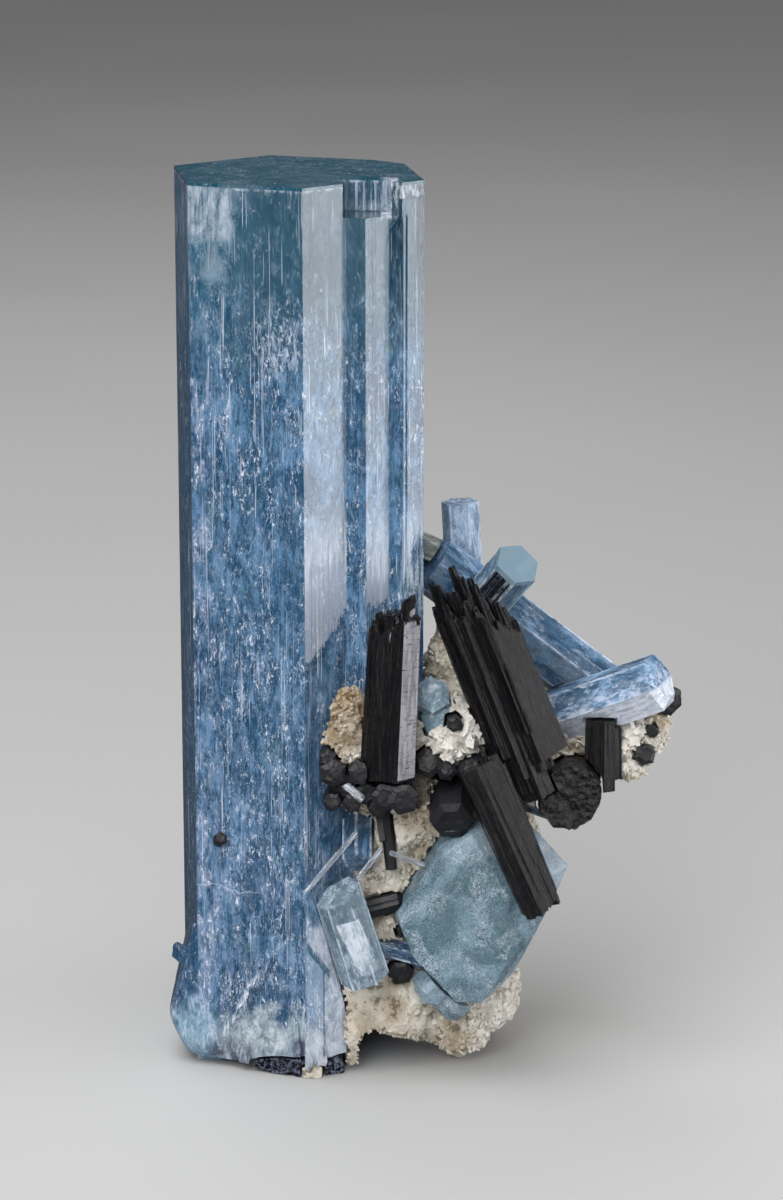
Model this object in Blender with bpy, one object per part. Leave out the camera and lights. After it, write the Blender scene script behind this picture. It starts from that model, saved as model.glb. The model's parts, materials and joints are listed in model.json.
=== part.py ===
"""Aquamarine crystal on its matrix, standing upright.

A stout six-sided aquamarine, grown with a second prism along its right side, stands on its flat base.
Feldspar matrix clings to its right side and carries smaller aquamarines, black schorl prisms, fluorite
and clear needles.

Lengths are in millimetres and are scaled to metres as each mesh is made. The origin is on the axis of
the main prism, in the plane of its flat base. +Z is up and -Y is the front.
"""

import math

import bmesh
import bpy
from mathutils import Matrix, Vector, noise

MM = 0.001

# Driving dimensions, in millimetres.
HEIGHT = 107.3
MAIN_RADIUS = 14.15
MAIN_TURN = -80.65
GROWTH_GAP = 0.3
HULL_GROWTH = 0.42
STRIA_DEPTH = 0.09
STEP_SHARE = 0.4
STEP_RISE = 0.02
MATRIX_VOXEL = 1.15
MATRIX_SHARE = 0.27
MATRIX_BUMP = 1.0
MATRIX_BUMP_SIZE = 3.2

# Colour, roughness, see-through share and refractive index of each mineral.
MINERALS = {
    "aquamarine": ((0.10, 0.32, 0.48), 0.12, 0.9, 1.577),
    "fluorite": ((0.30, 0.52, 0.56), 0.35, 0.8, 1.434),
    "quartz": ((0.75, 0.80, 0.85), 0.10, 0.9, 1.545),
    "schorl": ((0.012, 0.012, 0.016), 0.25, 0.0, 1.65),
    "feldspar": ((0.72, 0.66, 0.55), 0.85, 0.0, 1.52),
}


# ---------------------------------------------------------------- solids as lists of points and faces


def polar(radius, degrees):
    return (radius * math.cos(math.radians(degrees)), radius * math.sin(math.radians(degrees)))


def hexagon(radius, squash=1.0):
    """Six corners, narrowed by squash across the second axis."""
    return [(x, y * squash) for x, y in (polar(radius, 60 * k) for k in range(6))]


def outward_normals(section):
    """The outward normal of each side of an anticlockwise section."""
    normals = []
    for (ax, ay), (bx, by) in zip(section, section[1:] + section[:1]):
        length = math.hypot(bx - ax, by - ay)
        normals.append(((by - ay) / length, (ax - bx) / length))
    return normals


def widened(section, gap):
    """The section with every side moved outward by a gap."""
    normals = outward_normals(section)
    corners = []
    for k, (x, y) in enumerate(section):
        (ax, ay), (bx, by) = normals[k - 1], normals[k]
        reach = gap / (1 + ax * bx + ay * by)
        corners.append((x + (ax + bx) * reach, y + (ay + by) * reach))
    return corners


def striated(section, depth, ribs):
    """The section with its sides cut into bands that step inward, which makes fine upright steps."""
    points = []
    for k, ((ax, ay), (nx, ny)) in enumerate(zip(section, outward_normals(section))):
        bx, by = section[(k + 1) % len(section)]
        points.append((ax, ay))
        for j in range(1, ribs):
            share = (j + 0.3 * math.sin(2.3 * j + k)) / ribs
            low_step, high_step = depth * STEP_SHARE, depth * (0.5 + 0.5 * ((j + k) % 2))
            for edge, inset in ((share - STEP_RISE, low_step), (share + STEP_RISE, high_step)):
                points.append((ax + (bx - ax) * edge - nx * inset, ay + (by - ay) * edge - ny * inset))
    return points


def crystal_axes(root, tip, turn):
    """Two axes across a crystal, the first nearest the front, and the one along it."""
    along = (tip - root).normalized()
    front = Vector((0, -1, 0)) if abs(along.y) < 0.8 else Vector((0, 0, 1))
    across = (front - along * front.dot(along)).normalized()
    side = along.cross(across)
    spin = Matrix.Rotation(math.radians(turn), 3, along)
    return spin @ across, spin @ side, along


def stacked(rings):
    """The closed solid through some rings of corners, each ring anticlockwise seen from the last one."""
    count = len(rings[0])
    faces = [tuple(reversed(range(count)))]
    for base in range(0, count * (len(rings) - 1), count):
        faces += [(base + k, base + (k + 1) % count, base + count + (k + 1) % count, base + count + k)
                  for k in range(count)]
    last = count * (len(rings) - 1)
    faces.append(tuple(range(last, last + count)))
    return [corner for ring in rings for corner in ring], faces


class Growth:
    """One simple solid of a crystal, with the room that its neighbours must leave it."""

    def __init__(self, shape, room):
        self.shape = shape
        self.room = room


def prism(root, tip, section, turn=0.0, tip_scale=1.0, chamfer=0.0, lean=(0.0, 0.0), ribs=0, rib_depth=0.06):
    """A prism from root to tip. chamfer narrows its last part, and lean slopes its end face."""
    root, tip = Vector(root), Vector(tip)
    across, side, along = crystal_axes(root, tip, turn)
    length = (tip - root).length

    def built(outline, spare):
        levels = [(-spare, 1.0, 0.0), (length + spare, tip_scale, 1.0)]
        if chamfer:
            levels[1:] = [(length - chamfer + spare, 1.0, 1.0), (length + spare, tip_scale * 0.72, 1.0)]
        rings = []
        for rise, scale, slope in levels:
            rings.append([root + (across * x + side * y) * scale
                          + along * (rise + slope * (lean[0] * x + lean[1] * y)) for x, y in outline])
        return stacked(rings)

    shape = built(striated(section, rib_depth, ribs) if ribs else section, 0.0)
    return Growth(shape, built(widened(section, GROWTH_GAP / tip_scale), GROWTH_GAP))


def upright(section, bottom, top, ribs=0, rib_depth=STRIA_DEPTH):
    """A section in plan, given anticlockwise, raised from one height to another."""

    def built(outline, low, high):
        return stacked([[Vector((x, y, z)) for x, y in outline] for z in (low, high)])

    shape = built(striated(section, rib_depth, ribs) if ribs else section, bottom, top)
    return Growth(shape, built(widened(section, GROWTH_GAP), bottom - GROWTH_GAP, top + GROWTH_GAP))


def points_and_faces(mesh):
    mesh.verts.index_update()
    points = [vert.co.copy() for vert in mesh.verts]
    return points, [tuple(vert.index for vert in face.verts) for face in mesh.faces]


def hull(corners):
    """The convex solid around some corners."""
    mesh = bmesh.new()
    for corner in corners:
        mesh.verts.new(corner)
    result = bmesh.ops.convex_hull(mesh, input=mesh.verts)
    for vert in [item for item in result["geom_interior"] if isinstance(item, bmesh.types.BMVert)]:
        mesh.verts.remove(vert)
    bmesh.ops.recalc_face_normals(mesh, faces=mesh.faces)
    mesh.normal_update()
    shape = points_and_faces(mesh)
    for vert in mesh.verts:
        vert.co += vert.normal * HULL_GROWTH
    room = points_and_faces(mesh)
    mesh.free()
    return Growth(shape, room)


def ellipsoid(centre, radii, rings=8, spokes=12):
    mesh = bmesh.new()
    bmesh.ops.create_uvsphere(mesh, u_segments=spokes, v_segments=rings, radius=1.0)
    scale = Matrix.Diagonal((*radii, 1.0))
    bmesh.ops.transform(mesh, matrix=Matrix.Translation(centre) @ scale, verts=mesh.verts)
    shape = points_and_faces(mesh)
    mesh.free()
    return Growth(shape, shape)


# ---------------------------------------------------------------- objects


def clear_scene():
    for item in list(bpy.data.objects):
        bpy.data.objects.remove(item)


def mineral(name):
    """The material of one mineral, made once."""
    if name in bpy.data.materials:
        return bpy.data.materials[name]
    colour, roughness, see_through, index = MINERALS[name]
    material = bpy.data.materials.new(name)
    material.use_nodes = True
    shader = material.node_tree.nodes["Principled BSDF"]
    shader.inputs["Base Color"].default_value = (*colour, 1.0)
    shader.inputs["Roughness"].default_value = roughness
    shader.inputs["Metallic"].default_value = 0.0
    shader.inputs["Transmission Weight"].default_value = see_through
    shader.inputs["IOR"].default_value = index
    return material


def mesh_object(name, solid, collection=None):
    points, faces = solid
    mesh = bpy.data.meshes.new(name)
    mesh.from_pydata([point * MM for point in points], [], faces)
    item = bpy.data.objects.new(name, mesh)
    (collection or bpy.context.scene.collection).objects.link(item)
    return item


def hidden_collection(name, solids):
    """Cutters or growths that a Boolean reads. They are guides and not pieces of the specimen."""
    collection = bpy.data.collections.new(name)
    bpy.context.scene.collection.children.link(collection)
    for k, solid in enumerate(solids):
        item = mesh_object(f"{name}_{k}", solid, collection)
        item.hide_render = True
        item.display_type = "WIRE"
    return collection


def boolean(item, operation, collection):
    modifier = item.modifiers.new(operation.lower(), "BOOLEAN")
    modifier.operation = operation
    modifier.solver = "EXACT"
    modifier.operand_type = "COLLECTION"
    modifier.collection = collection


def settle(item):
    """Apply an object's modifiers and drop the guides that they read."""
    guides = [modifier.collection for modifier in item.modifiers if modifier.type == "BOOLEAN"]
    graph = bpy.context.evaluated_depsgraph_get()
    graph.update()
    mesh = bpy.data.meshes.new_from_object(item.evaluated_get(graph))
    item.modifiers.clear()
    item.data = mesh
    for collection in guides:
        for guide in list(collection.objects):
            bpy.data.objects.remove(guide)
        bpy.data.collections.remove(collection)


def keep_main_body(item):
    """Drop crumbs that a cut leaves loose, and corners that it leaves doubled."""
    mesh = bmesh.new()
    mesh.from_mesh(item.data)
    bmesh.ops.remove_doubles(mesh, verts=mesh.verts, dist=0.004 * MM)
    bodies, seen = [], set()
    for vert in mesh.verts:
        if vert in seen:
            continue
        body, edge_of_body = {vert}, [vert]
        while edge_of_body:
            for edge in edge_of_body.pop().link_edges:
                for other in edge.verts:
                    if other not in body:
                        body.add(other)
                        edge_of_body.append(other)
        seen |= body
        bodies.append(body)
    if not bodies:
        raise RuntimeError(f"nothing is left of {item.name}")
    largest = max(bodies, key=body_span)
    bmesh.ops.delete(mesh, geom=[vert for vert in mesh.verts if vert not in largest], context="VERTS")
    bmesh.ops.triangulate(mesh, faces=mesh.faces)
    mesh.to_mesh(item.data)
    mesh.free()


def body_span(body):
    """The volume of the box around a loose body, by which the main one is told from crumbs."""
    span = 1.0
    for axis in range(3):
        values = [vert.co[axis] for vert in body]
        span *= max(values) - min(values) + 1e-9
    return span


def box_of(solid):
    points, _ = solid
    low = [min(point[axis] for point in points) for axis in range(3)]
    high = [max(point[axis] for point in points) for axis in range(3)]
    return low, high


def meets(solid, other):
    (low, high), (low_2, high_2) = box_of(solid), box_of(other)
    return all(low[k] < high_2[k] and low_2[k] < high[k] for k in range(3))


def below_base():
    """A slab under the base plane, which trims everything flat there."""
    return upright([(-60, -60), (80, -60), (80, 60), (-60, 60)], -30, 0).shape


class Specimen:
    """Grows the pieces in order. Each new one is cut back from those that were there first."""

    def __init__(self):
        self.taken = []

    def grow(self, name, mineral_name, growths, trims=()):
        item = mesh_object(name, growths[0].shape)
        if len(growths) > 1:
            others = [growth.shape for growth in growths[1:]]
            boolean(item, "UNION", hidden_collection(name + "_growth", others))
            settle(item)
        self.finish(item, mineral_name, growths, trims)

    def finish(self, item, mineral_name, growths, trims=()):
        cutters = [room for room in self.taken if any(meets(growth.shape, room) for growth in growths)]
        cutters += [trim.shape for trim in trims]
        if min(box_of(growth.shape)[0][2] for growth in growths) < 0:
            cutters.append(below_base())
        if cutters:
            boolean(item, "DIFFERENCE", hidden_collection(item.name + "_cut", cutters))
            settle(item)
        keep_main_body(item)
        item.data.materials.clear()
        item.data.materials.append(mineral(mineral_name))
        self.taken += [growth.room for growth in growths]


# ---------------------------------------------------------------- the main aquamarine

FACE_A = polar(1.0, MAIN_TURN + 120)  # along the pale faces, to the right and back
FACE_B = polar(1.0, MAIN_TURN + 60)  # along the deep blue faces, to the right and forward
FACE_C = polar(1.0, MAIN_TURN + 180)  # along the right-hand face, to the back
FACE_TURN = MAIN_TURN + 90  # turns an upright hexagon parallel to the main one


def walk(start, legs):
    """Corners reached from a start by legs, each a direction and a length."""
    corners = [start]
    for (dx, dy), length in legs:
        x, y = corners[-1]
        corners.append((x + dx * length, y + dy * length))
    return corners


def main_section():
    """The plan of the two parallel prisms: a hexagon whose right half steps out in three columns."""
    front = polar(MAIN_RADIUS, MAIN_TURN)
    stepped = walk(front, [(FACE_A, 6.3), (FACE_B, 2.4), (FACE_A, 3.5), (FACE_B, 1.6), (FACE_A, 3.3),
                           (FACE_C, 13.9)])
    left_side = [polar(MAIN_RADIUS, MAIN_TURN + turn) for turn in (180, 240, 300)]
    return stepped + [(10.1, 9.9)] + left_side


def main_growths():
    """Overgrowths on the foot of the main crystal: the flare at the left and the terraces in front."""
    flare = [(-13.2, -6.0, 11.5), (-14.5, -7.0, 7.3), (-15.1, -8.0, 5.2), (-13.3, -9.2, 3.0),
             (-12.0, -9.6, 1.2), (-10.4, -11.2, 2.2), (-9.0, -11.4, 6.5), (-11.5, -9.8, 9.5),
             (-9.0, -4.0, 0.5), (-9.0, 0.0, 8.0), (-13.5, -1.0, 2.0)]
    shard = [(-14.4, -5.0, 12.2), (-14.2, -5.0, 13.7), (-13.6, -5.4, 14.3), (-12.4, -5.2, 13.5),
             (-12.4, -6.2, 11.0), (-12.0, -3.0, 11.5)]
    crust = [(-9.2, -10.7, 1.2), (-8.6, -11.5, 4.5), (-5.6, -12.9, 6.9), (-1.0, -14.3, 7.4),
             (1.6, -14.9, 5.5), (1.5, -14.7, 1.2), (-4.5, -12.7, 0.4), (-6.0, -9.0, 0.0),
             (0.0, -10.0, 1.0), (0.0, -11.0, 6.0)]
    terrace = [(2.3, -14.7, 27.5), (3.5, -14.6, 22.0), (5.2, -13.9, 14.0), (7.0, -13.2, 8.4),
               (7.1, -12.9, 1.2), (2.0, -15.1, 1.2), (2.0, -15.0, 12.0), (3.0, -11.0, 24.0),
               (3.0, -9.0, 1.2), (7.0, -9.0, 7.0)]
    wedge = [(2.6, -15.2, 16.0), (4.5, -14.9, 8.0), (5.0, -14.6, 1.2), (2.2, -15.7, 1.2),
             (2.0, -15.6, 9.0), (3.0, -11.0, 13.0), (3.0, -10.0, 1.2)]
    rear = [(-3.0, 15.2, 1.0), (3.0, 14.0, 1.0), (2.0, 13.6, 10.0), (-4.0, 14.4, 8.0),
            (-7.0, 11.0, 0.5), (4.0, 8.0, 0.5), (-2.0, 9.0, 12.0)]
    return [hull(corners) for corners in (flare, shard, crust, terrace, wedge, rear)]


def front_arch(left):
    """The hollow broken out under the front edge of the foot, from a left end to the tip of the matrix."""
    near, far = -20.0, 3.0
    crown = [(8.9, 8.0), (10.3, 8.6), (17.4, 7.2)]
    return hull([(x, near, z) for x, z in crown] + [(x, far, z - 8.9) for x, z in crown]
                + [(left, near, 6.2), (left, near, -2.0), (left, far, -2.0), (20.3, near, 5.0),
                   (20.3, near, -2.0), (20.3, far, -3.8)])


def main_trims():
    """The corner between the prisms, where the front columns end short of the top, and the broken foot."""
    notch = upright([(7.0, -12.5), (12.6, -12.5), (12.1, -5.1), (6.4, -4.3)], 103.4, HEIGHT + 5)
    front_rim = upright([(-16.0, -20.0), (8.0, -20.0), (8.0, -11.6), (-2.0, -9.4), (-16.0, -6.5)], -5, 1.0)
    return [notch, front_rim, front_arch(7.0)]


def build_underside(specimen):
    """What the main crystal's front edge sits on: a crumb of feldspar, and schorl around it."""
    crumb = [(1.8, -14.2, 0.0), (4.0, -13.9, 0.0), (4.1, -13.8, 1.4), (2.9, -14.4, 1.9),
             (1.7, -14.1, 1.3), (2.0, -11.6, 0.0), (3.8, -11.8, 0.0), (3.2, -11.8, 1.5)]
    specimen.grow("feldspar_crumb", "feldspar", [hull(crumb)])
    schorl = [(-4.6, -11.6, 0.5), (-4.2, -12.0, 1.6), (-1.0, -13.2, 2.2), (2.4, -14.3, 2.4),
              (6.6, -13.0, 2.6), (6.8, -12.4, 0.0), (2.4, -14.0, 0.0), (-2.0, -12.6, 0.0),
              (-3.0, -7.0, 0.0), (-3.0, -7.0, 1.4), (6.4, -7.5, 0.0), (6.2, -7.5, 2.0)]
    specimen.grow("schorl_under_foot", "schorl", [hull(schorl)])


def build_main(specimen):
    body = upright(main_section(), 0.0, HEIGHT, ribs=4)
    specimen.grow("main_aquamarine", "aquamarine", [body] + main_growths(), main_trims())


# ---------------------------------------------------------------- schorl


def schorl_section(radius):
    """Schorl is rounded three-sided: three broad faces and three narrow ones."""
    return [polar(radius, angle) for angle in (-22, 22, 98, 142, 218, 262)]


def build_schorl(specimen):
    ragged_tops = (58.4, 57.4, 58.1, 57.0)
    left_prism = [
        prism((11.0, -14.9, 38.2), (12.0, -15.2, 57.2), schorl_section(2.5), -50, 0.92, ribs=4,
              rib_depth=0.12),
        prism((12.6, -14.5, 38.0), (13.5, -14.8, 57.9), hexagon(2.7), FACE_TURN, 0.92),
        prism((13.9, -14.4, 52.0), (14.4, -14.9, 59.8), hexagon(1.1), FACE_TURN, 0.8, lean=(0.0, 0.5)),
    ]
    for k, top in enumerate(ragged_tops):
        splinter_tip = (11.0 + 0.9 * k, -15.6 + 0.4 * (k % 2), top)
        left_prism.append(prism((10.6 + 0.9 * k, -15.2, 50.0), splinter_tip, hexagon(0.8), 17 * k, 0.6))
    specimen.grow("schorl_prism_left", "schorl", left_prism)
    specimen.grow("schorl_fan", "schorl", fan_bundle())
    specimen.grow("schorl_rod", "schorl", [
        prism((22.3, -15.6, 39.6), (29.9, -19.4, 23.2), schorl_section(2.75), 18, 0.96, lean=(0.18, -0.12),
              ribs=4, rib_depth=0.12),
        prism((23.8, -14.6, 40.6), (30.6, -18.2, 24.6), hexagon(1.7), 0, 0.9),
    ])
    specimen.grow("schorl_round", "schorl", [
        prism((33.8, -4.0, 33.6), (33.4, -13.6, 35.1), rounded(4.1, 10), 8, 0.93, lean=(0.05, 0.1)),
    ])
    specimen.grow("schorl_block", "schorl", [
        prism((37.4, -7.2, 34.2), (37.4, -6.4, 42.6), schorl_section(2.1), 30, 0.95, ribs=3),
        prism((38.9, -6.8, 35.4), (38.8, -6.2, 41.6), hexagon(1.1), 10),
    ])


def rounded(radius, sides):
    """A round section of uneven sides."""
    return [polar(radius * (1 + 0.04 * math.sin(5.1 * k)), 360 * k / sides) for k in range(sides)]


def fan_bundle():
    """Parallel prisms grown side by side, which end upward in splinters of many lengths."""
    along = Vector((-0.36, -0.03, 0.93)).normalized()

    def strand(tip, length, section, turn, **shape):
        tip = Vector(tip)
        return prism(tip - along * length, tip, section, turn, **shape)

    strands = [
        strand((23.4, -12.2, 56.8), 18.0, schorl_section(3.6), 26, tip_scale=0.94, lean=(0.3, 0.5), ribs=4,
               rib_depth=0.12),
        strand((20.2, -12.2, 57.2), 22.6, schorl_section(3.5), -15, tip_scale=0.92, lean=(0.2, -0.3), ribs=4,
               rib_depth=0.12),
        strand((18.3, -11.6, 58.2), 15.6, hexagon(1.7), 5, tip_scale=0.9),
        strand((24.8, -13.4, 48.0), 13.6, hexagon(2.2), 12, tip_scale=0.8, lean=(0.6, 0.4)),
    ]
    tips = [(16.9, -12.2, 61.0), (17.7, -12.8, 60.8), (18.9, -13.2, 60.0), (19.3, -12.2, 62.9),
            (20.4, -12.8, 61.7), (21.4, -12.2, 61.6), (18.6, -14.4, 58.8), (22.6, -14.2, 60.0),
            (23.6, -12.6, 59.4), (24.5, -12.8, 58.7), (25.4, -12.2, 58.0), (19.6, -13.8, 60.4),
            (21.2, -14.0, 60.2), (22.0, -12.6, 60.8)]
    strands += [strand(tip, 10.0 + k % 3, hexagon(1.15 - 0.1 * (k % 3), 0.8), 23 * k, tip_scale=0.4)
                for k, tip in enumerate(tips)]
    return strands


def beads(crystals, turn_step, tip_scale, chamfer):
    """Short prisms grown together, each given by its root, its tip and its radius."""
    return [prism(root, tip, hexagon(radius), turn_step * k, tip_scale, chamfer=chamfer)
            for k, (root, tip, radius) in enumerate(crystals)]


def small_schorl(specimen):
    """The little black crystals that stud the matrix, most of them seen end on."""
    left = [((5.6, -12.4, 38.6), (5.6, -16.8, 39.0), 1.7),
            ((8.6, -12.0, 38.6), (8.8, -17.2, 39.2), 1.5),
            ((5.5, -12.0, 35.2), (5.5, -16.8, 35.5), 1.2),
            ((7.8, -12.0, 35.2), (7.8, -17.0, 35.5), 1.25),
            ((7.0, -12.0, 37.2), (6.9, -16.0, 37.2), 1.5),
            ((9.4, -12.0, 36.4), (9.4, -16.4, 36.4), 1.4),
            ((11.2, -12.0, 35.8), (11.6, -17.0, 36.2), 1.7),
            ((10.6, -12.0, 34.4), (10.8, -16.4, 34.6), 1.2),
            ((13.2, -12.0, 35.4), (13.8, -17.0, 36.0), 2.0),
            ((4.9, -12.6, 40.2), (4.9, -16.0, 40.5), 1.1)]
    specimen.grow("schorl_cluster_left", "schorl", beads(left, 13, 0.9, 0.3))
    middle = [((15.0, -9.0, 34.6), (15.2, -15.0, 36.2), 2.0),
              ((17.2, -8.0, 37.6), (16.6, -13.4, 39.4), 1.9),
              ((18.8, -8.0, 37.0), (18.9, -13.9, 38.6), 1.3),
              ((19.6, -8.0, 34.6), (19.4, -15.6, 32.8), 2.6),
              ((21.8, -7.5, 36.6), (22.0, -12.6, 38.4), 2.1)]
    specimen.grow("schorl_cluster_middle", "schorl", beads(middle, 11, 0.86, 0.4))
    blades = [((9.7, -13.6, 36.2), (11.0, -15.6, 28.2), 0.75),
              ((11.6, -12.0, 34.6), (12.4, -14.8, 26.6), 1.35),
              ((10.9, -12.0, 35.0), (11.6, -14.4, 30.0), 1.1)]
    specimen.grow("schorl_blades", "schorl", [
        prism(root, tip, hexagon(radius, 0.6), 20 * k, 0.75) for k, (root, tip, radius) in enumerate(blades)])
    singles = {
        "schorl_lower_bar": ((8.4, -13.0, 20.8), (13.6, -13.4, 22.4), 1.3),
        "schorl_lower_bead": ((13.6, -8.0, 18.0), (13.9, -13.2, 18.4), 1.0),
        "schorl_lower_stub": ((13.2, -8.0, 13.0), (13.6, -13.6, 13.2), 1.5),
        "schorl_on_nub": ((19.6, -8.0, 43.6), (19.8, -14.0, 44.2), 0.95),
        "schorl_right_end": ((42.6, 2.5, 44.4), (46.0, -3.0, 43.8), 1.9),
        "schorl_right_bead": ((43.2, -2.5, 40.6), (43.6, -6.0, 41.0), 0.75),
        "schorl_right_foot": ((42.2, -2.5, 37.0), (42.8, -6.2, 38.2), 1.35),
        "schorl_speck": ((-8.2, -9.5, 28.4), (-7.9, -11.4, 29.4), 0.85),
    }
    for k, (name, (root, tip, radius)) in enumerate(singles.items()):
        specimen.grow(name, "schorl", [prism(root, tip, hexagon(radius), 17 * k, 0.9, chamfer=0.25)])


# ---------------------------------------------------------------- smaller aquamarines, fluorite, needles


def small_aquamarines(specimen):
    specimen.grow("stub_aquamarine", "aquamarine",
                  [prism((23.0, -3.0, 55.6), (27.2, -9.0, 62.4), hexagon(2.85), 12, ribs=3)])
    specimen.grow("fat_aquamarine", "aquamarine",
                  [prism((28.8, 0.4, 39.7), (44.8, -6.8, 47.6), hexagon(3.6), 8, 0.97, chamfer=0.8, ribs=3)])
    specimen.grow("long_aquamarine", "aquamarine",
                  [prism((39.4, 4.4, 41.9), (17.0, -0.6, 60.5), hexagon(4.0), 20, 0.95, ribs=3)])
    specimen.grow("upright_aquamarine", "aquamarine",
                  [prism((21.6, 6.6, 50.0), (20.7, 6.6, 66.3), hexagon(2.3), 24, ribs=3)])
    specimen.grow("pale_beryl", "aquamarine",
                  [prism((12.6, 4.2, 62.4), (18.7, 0.2, 60.8), hexagon(2.1), 10, 0.95, chamfer=0.5, ribs=3)])
    specimen.grow("glassy_aquamarine", "aquamarine",
                  [prism((9.3, -16.4, 13.6), (6.1, -17.6, 24.6), hexagon(2.95), 28, 0.96, lean=(0.0, 0.28),
                         ribs=3)])
    specimen.grow("cross_aquamarine", "aquamarine",
                  [prism((9.8, -12.2, 16.4), (16.8, -12.8, 14.6), hexagon(1.4), 25, 0.95, ribs=3)])
    lumps = [((16.6, -6.0, 43.0), (16.8, -11.4, 47.6), 1.9),
             ((18.0, -6.0, 43.2), (19.0, -10.8, 45.6), 1.8)]
    specimen.grow("aquamarine_lumps", "aquamarine", beads(lumps, 21, 0.85, 0.5))
    specimen.grow("dull_aquamarine", "aquamarine",
                  [prism((8.4, -10.5, 31.0), (8.4, -15.2, 27.4), hexagon(2.0), 5, 0.95, chamfer=0.3, ribs=3)])
    specimen.grow("green_aquamarine", "aquamarine",
                  [prism((27.2, -7.5, 33.6), (32.2, -9.6, 32.2), hexagon(1.45), 15, 0.95, ribs=3)])


def build_fluorite(specimen):
    front = [(17.6, -16.5, 28.4), (21.8, -16.0, 31.4), (26.2, -18.2, 24.2), (26.0, -18.0, 15.8),
             (23.2, -17.6, 11.0), (20.0, -17.4, 11.0), (15.0, -16.8, 16.4), (13.0, -15.8, 21.4)]
    belt = [(12.5, -13.0, 20.8), (16.2, -12.0, 26.9), (18.1, -11.5, 30.0), (22.3, -11.5, 31.7),
            (28.1, -10.5, 31.9), (33.5, -11.0, 26.0), (31.8, -12.5, 22.5), (30.2, -13.5, 19.6),
            (27.2, -12.0, 13.0), (25.6, -12.0, 11.2), (22.5, -12.5, 9.0), (20.1, -12.5, 10.4),
            (14.9, -13.0, 15.7)]
    back = [(18.0, -6.0, 24.0), (28.0, -6.0, 27.0), (29.0, -6.0, 20.0), (22.0, -6.0, 13.0)]
    specimen.grow("fluorite", "fluorite", [hull(front + belt + back)])
    lower = [prism((16.4, -13.6, 12.8), (21.2, -14.4, 8.6), hexagon(1.9), 12, 0.9, chamfer=0.6),
             prism((16.6, -12.6, 12.0), (17.8, -16.2, 11.4), hexagon(1.7), 12, 0.9, chamfer=0.6)]
    specimen.grow("small_fluorite", "fluorite", lower)


def build_needles(specimen):
    needles = {
        "needle_left": ((8.3, -14.6, 31.2), (2.2, -16.7, 24.4), 0.42),
        "needle_middle": ((11.2, -16.0, 29.6), (8.0, -17.2, 25.7), 0.4),
        "needle_right": ((16.2, -15.0, 27.3), (12.3, -17.8, 29.7), 0.46),
        "white_blade": ((6.3, -15.2, 37.8), (9.0, -18.0, 36.4), 0.6),
    }
    for name, (root, tip, radius) in needles.items():
        specimen.grow(name, "quartz", [prism(root, tip, hexagon(radius, 0.8), 12, 0.9)])


# ---------------------------------------------------------------- matrix


MATRIX_LUMPS = [
    # centre, radii
    ((7.3, -12.5, 42.9), (2.7, 2.6, 5.6)),
    ((10.6, -11.3, 41.0), (3.8, 2.0, 6.0)),
    ((9.4, -11.4, 36.6), (5.0, 2.0, 3.8)),
    ((14.6, -10.0, 38.0), (3.6, 3.0, 6.5)),
    ((19.8, -7.8, 42.0), (4.3, 4.6, 4.6)),
    ((19.6, -1.6, 46.0), (3.6, 5.4, 7.2)),
    ((21.6, 5.6, 46.5), (4.6, 4.6, 7.6)),
    ((14.4, -8.6, 31.0), (5.6, 5.2, 5.4)),
    ((12.4, -8.6, 21.5), (4.8, 5.2, 9.0)),
    ((12.0, -8.6, 8.4), (6.2, 5.4, 6.2)),
    ((7.6, -11.0, 6.2), (2.6, 3.0, 5.6)),
    ((19.8, -7.0, 6.2), (4.4, 5.2, 6.0)),
    ((23.4, -5.0, 9.6), (4.0, 5.6, 6.2)),
    ((21.0, 1.0, 37.0), (8.5, 9.5, 9.5)),
    ((30.0, 1.5, 37.6), (8.5, 7.6, 6.6)),
    ((37.6, 0.6, 39.4), (7.0, 6.2, 5.4)),
    ((40.8, -3.2, 38.2), (2.8, 3.0, 4.2)),
    ((43.4, -2.0, 40.2), (2.8, 3.2, 3.8)),
    ((21.5, 0.0, 23.0), (9.0, 9.5, 12.0)),
    ((17.5, 0.5, 10.5), (8.5, 9.5, 9.0)),
    ((15.5, 9.0, 17.0), (6.5, 5.5, 13.0)),
    ((17.5, 7.5, 32.0), (6.0, 6.0, 10.0)),
]


def matrix_foot():
    """Flat feet of the matrix, which carry its tip on the base plane."""
    return [hull([(18.4, -7.4, 0.0), (21.0, -7.2, 0.0), (21.4, -3.0, 0.0), (18.0, -3.0, 0.0),
                  (17.0, -8.0, 5.0), (22.4, -7.0, 5.0), (22.8, -3.0, 5.0), (17.0, -2.0, 5.0)])]


def roughen(item, amount, size):
    """Push each vertex out or in by smooth noise, so that the lump has a sugary, knobbly skin."""
    mesh = item.data
    normals = [vert.normal.copy() for vert in mesh.vertices]
    for vert, normal in zip(mesh.vertices, normals):
        place = vert.co / (size * MM)
        push = 0.65 * noise.noise(place) + 0.35 * noise.noise(place * 2.3)
        vert.co += normal * push * amount * MM


def build_matrix(specimen):
    lumps = [ellipsoid(centre, radii) for centre, radii in MATRIX_LUMPS] + matrix_foot()
    item = mesh_object("feldspar_matrix", lumps[0].shape)
    boolean(item, "UNION", hidden_collection("matrix_growth", [lump.shape for lump in lumps[1:]]))
    remesh = item.modifiers.new("even_skin", "REMESH")
    remesh.mode = "VOXEL"
    remesh.voxel_size = MATRIX_VOXEL * MM
    settle(item)
    roughen(item, MATRIX_BUMP, MATRIX_BUMP_SIZE)
    decimate = item.modifiers.new("fewer_faces", "DECIMATE")
    decimate.ratio = MATRIX_SHARE
    decimate.use_collapse_triangulate = True
    settle(item)
    specimen.finish(item, "feldspar", lumps, [front_arch(8.2)])


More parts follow.
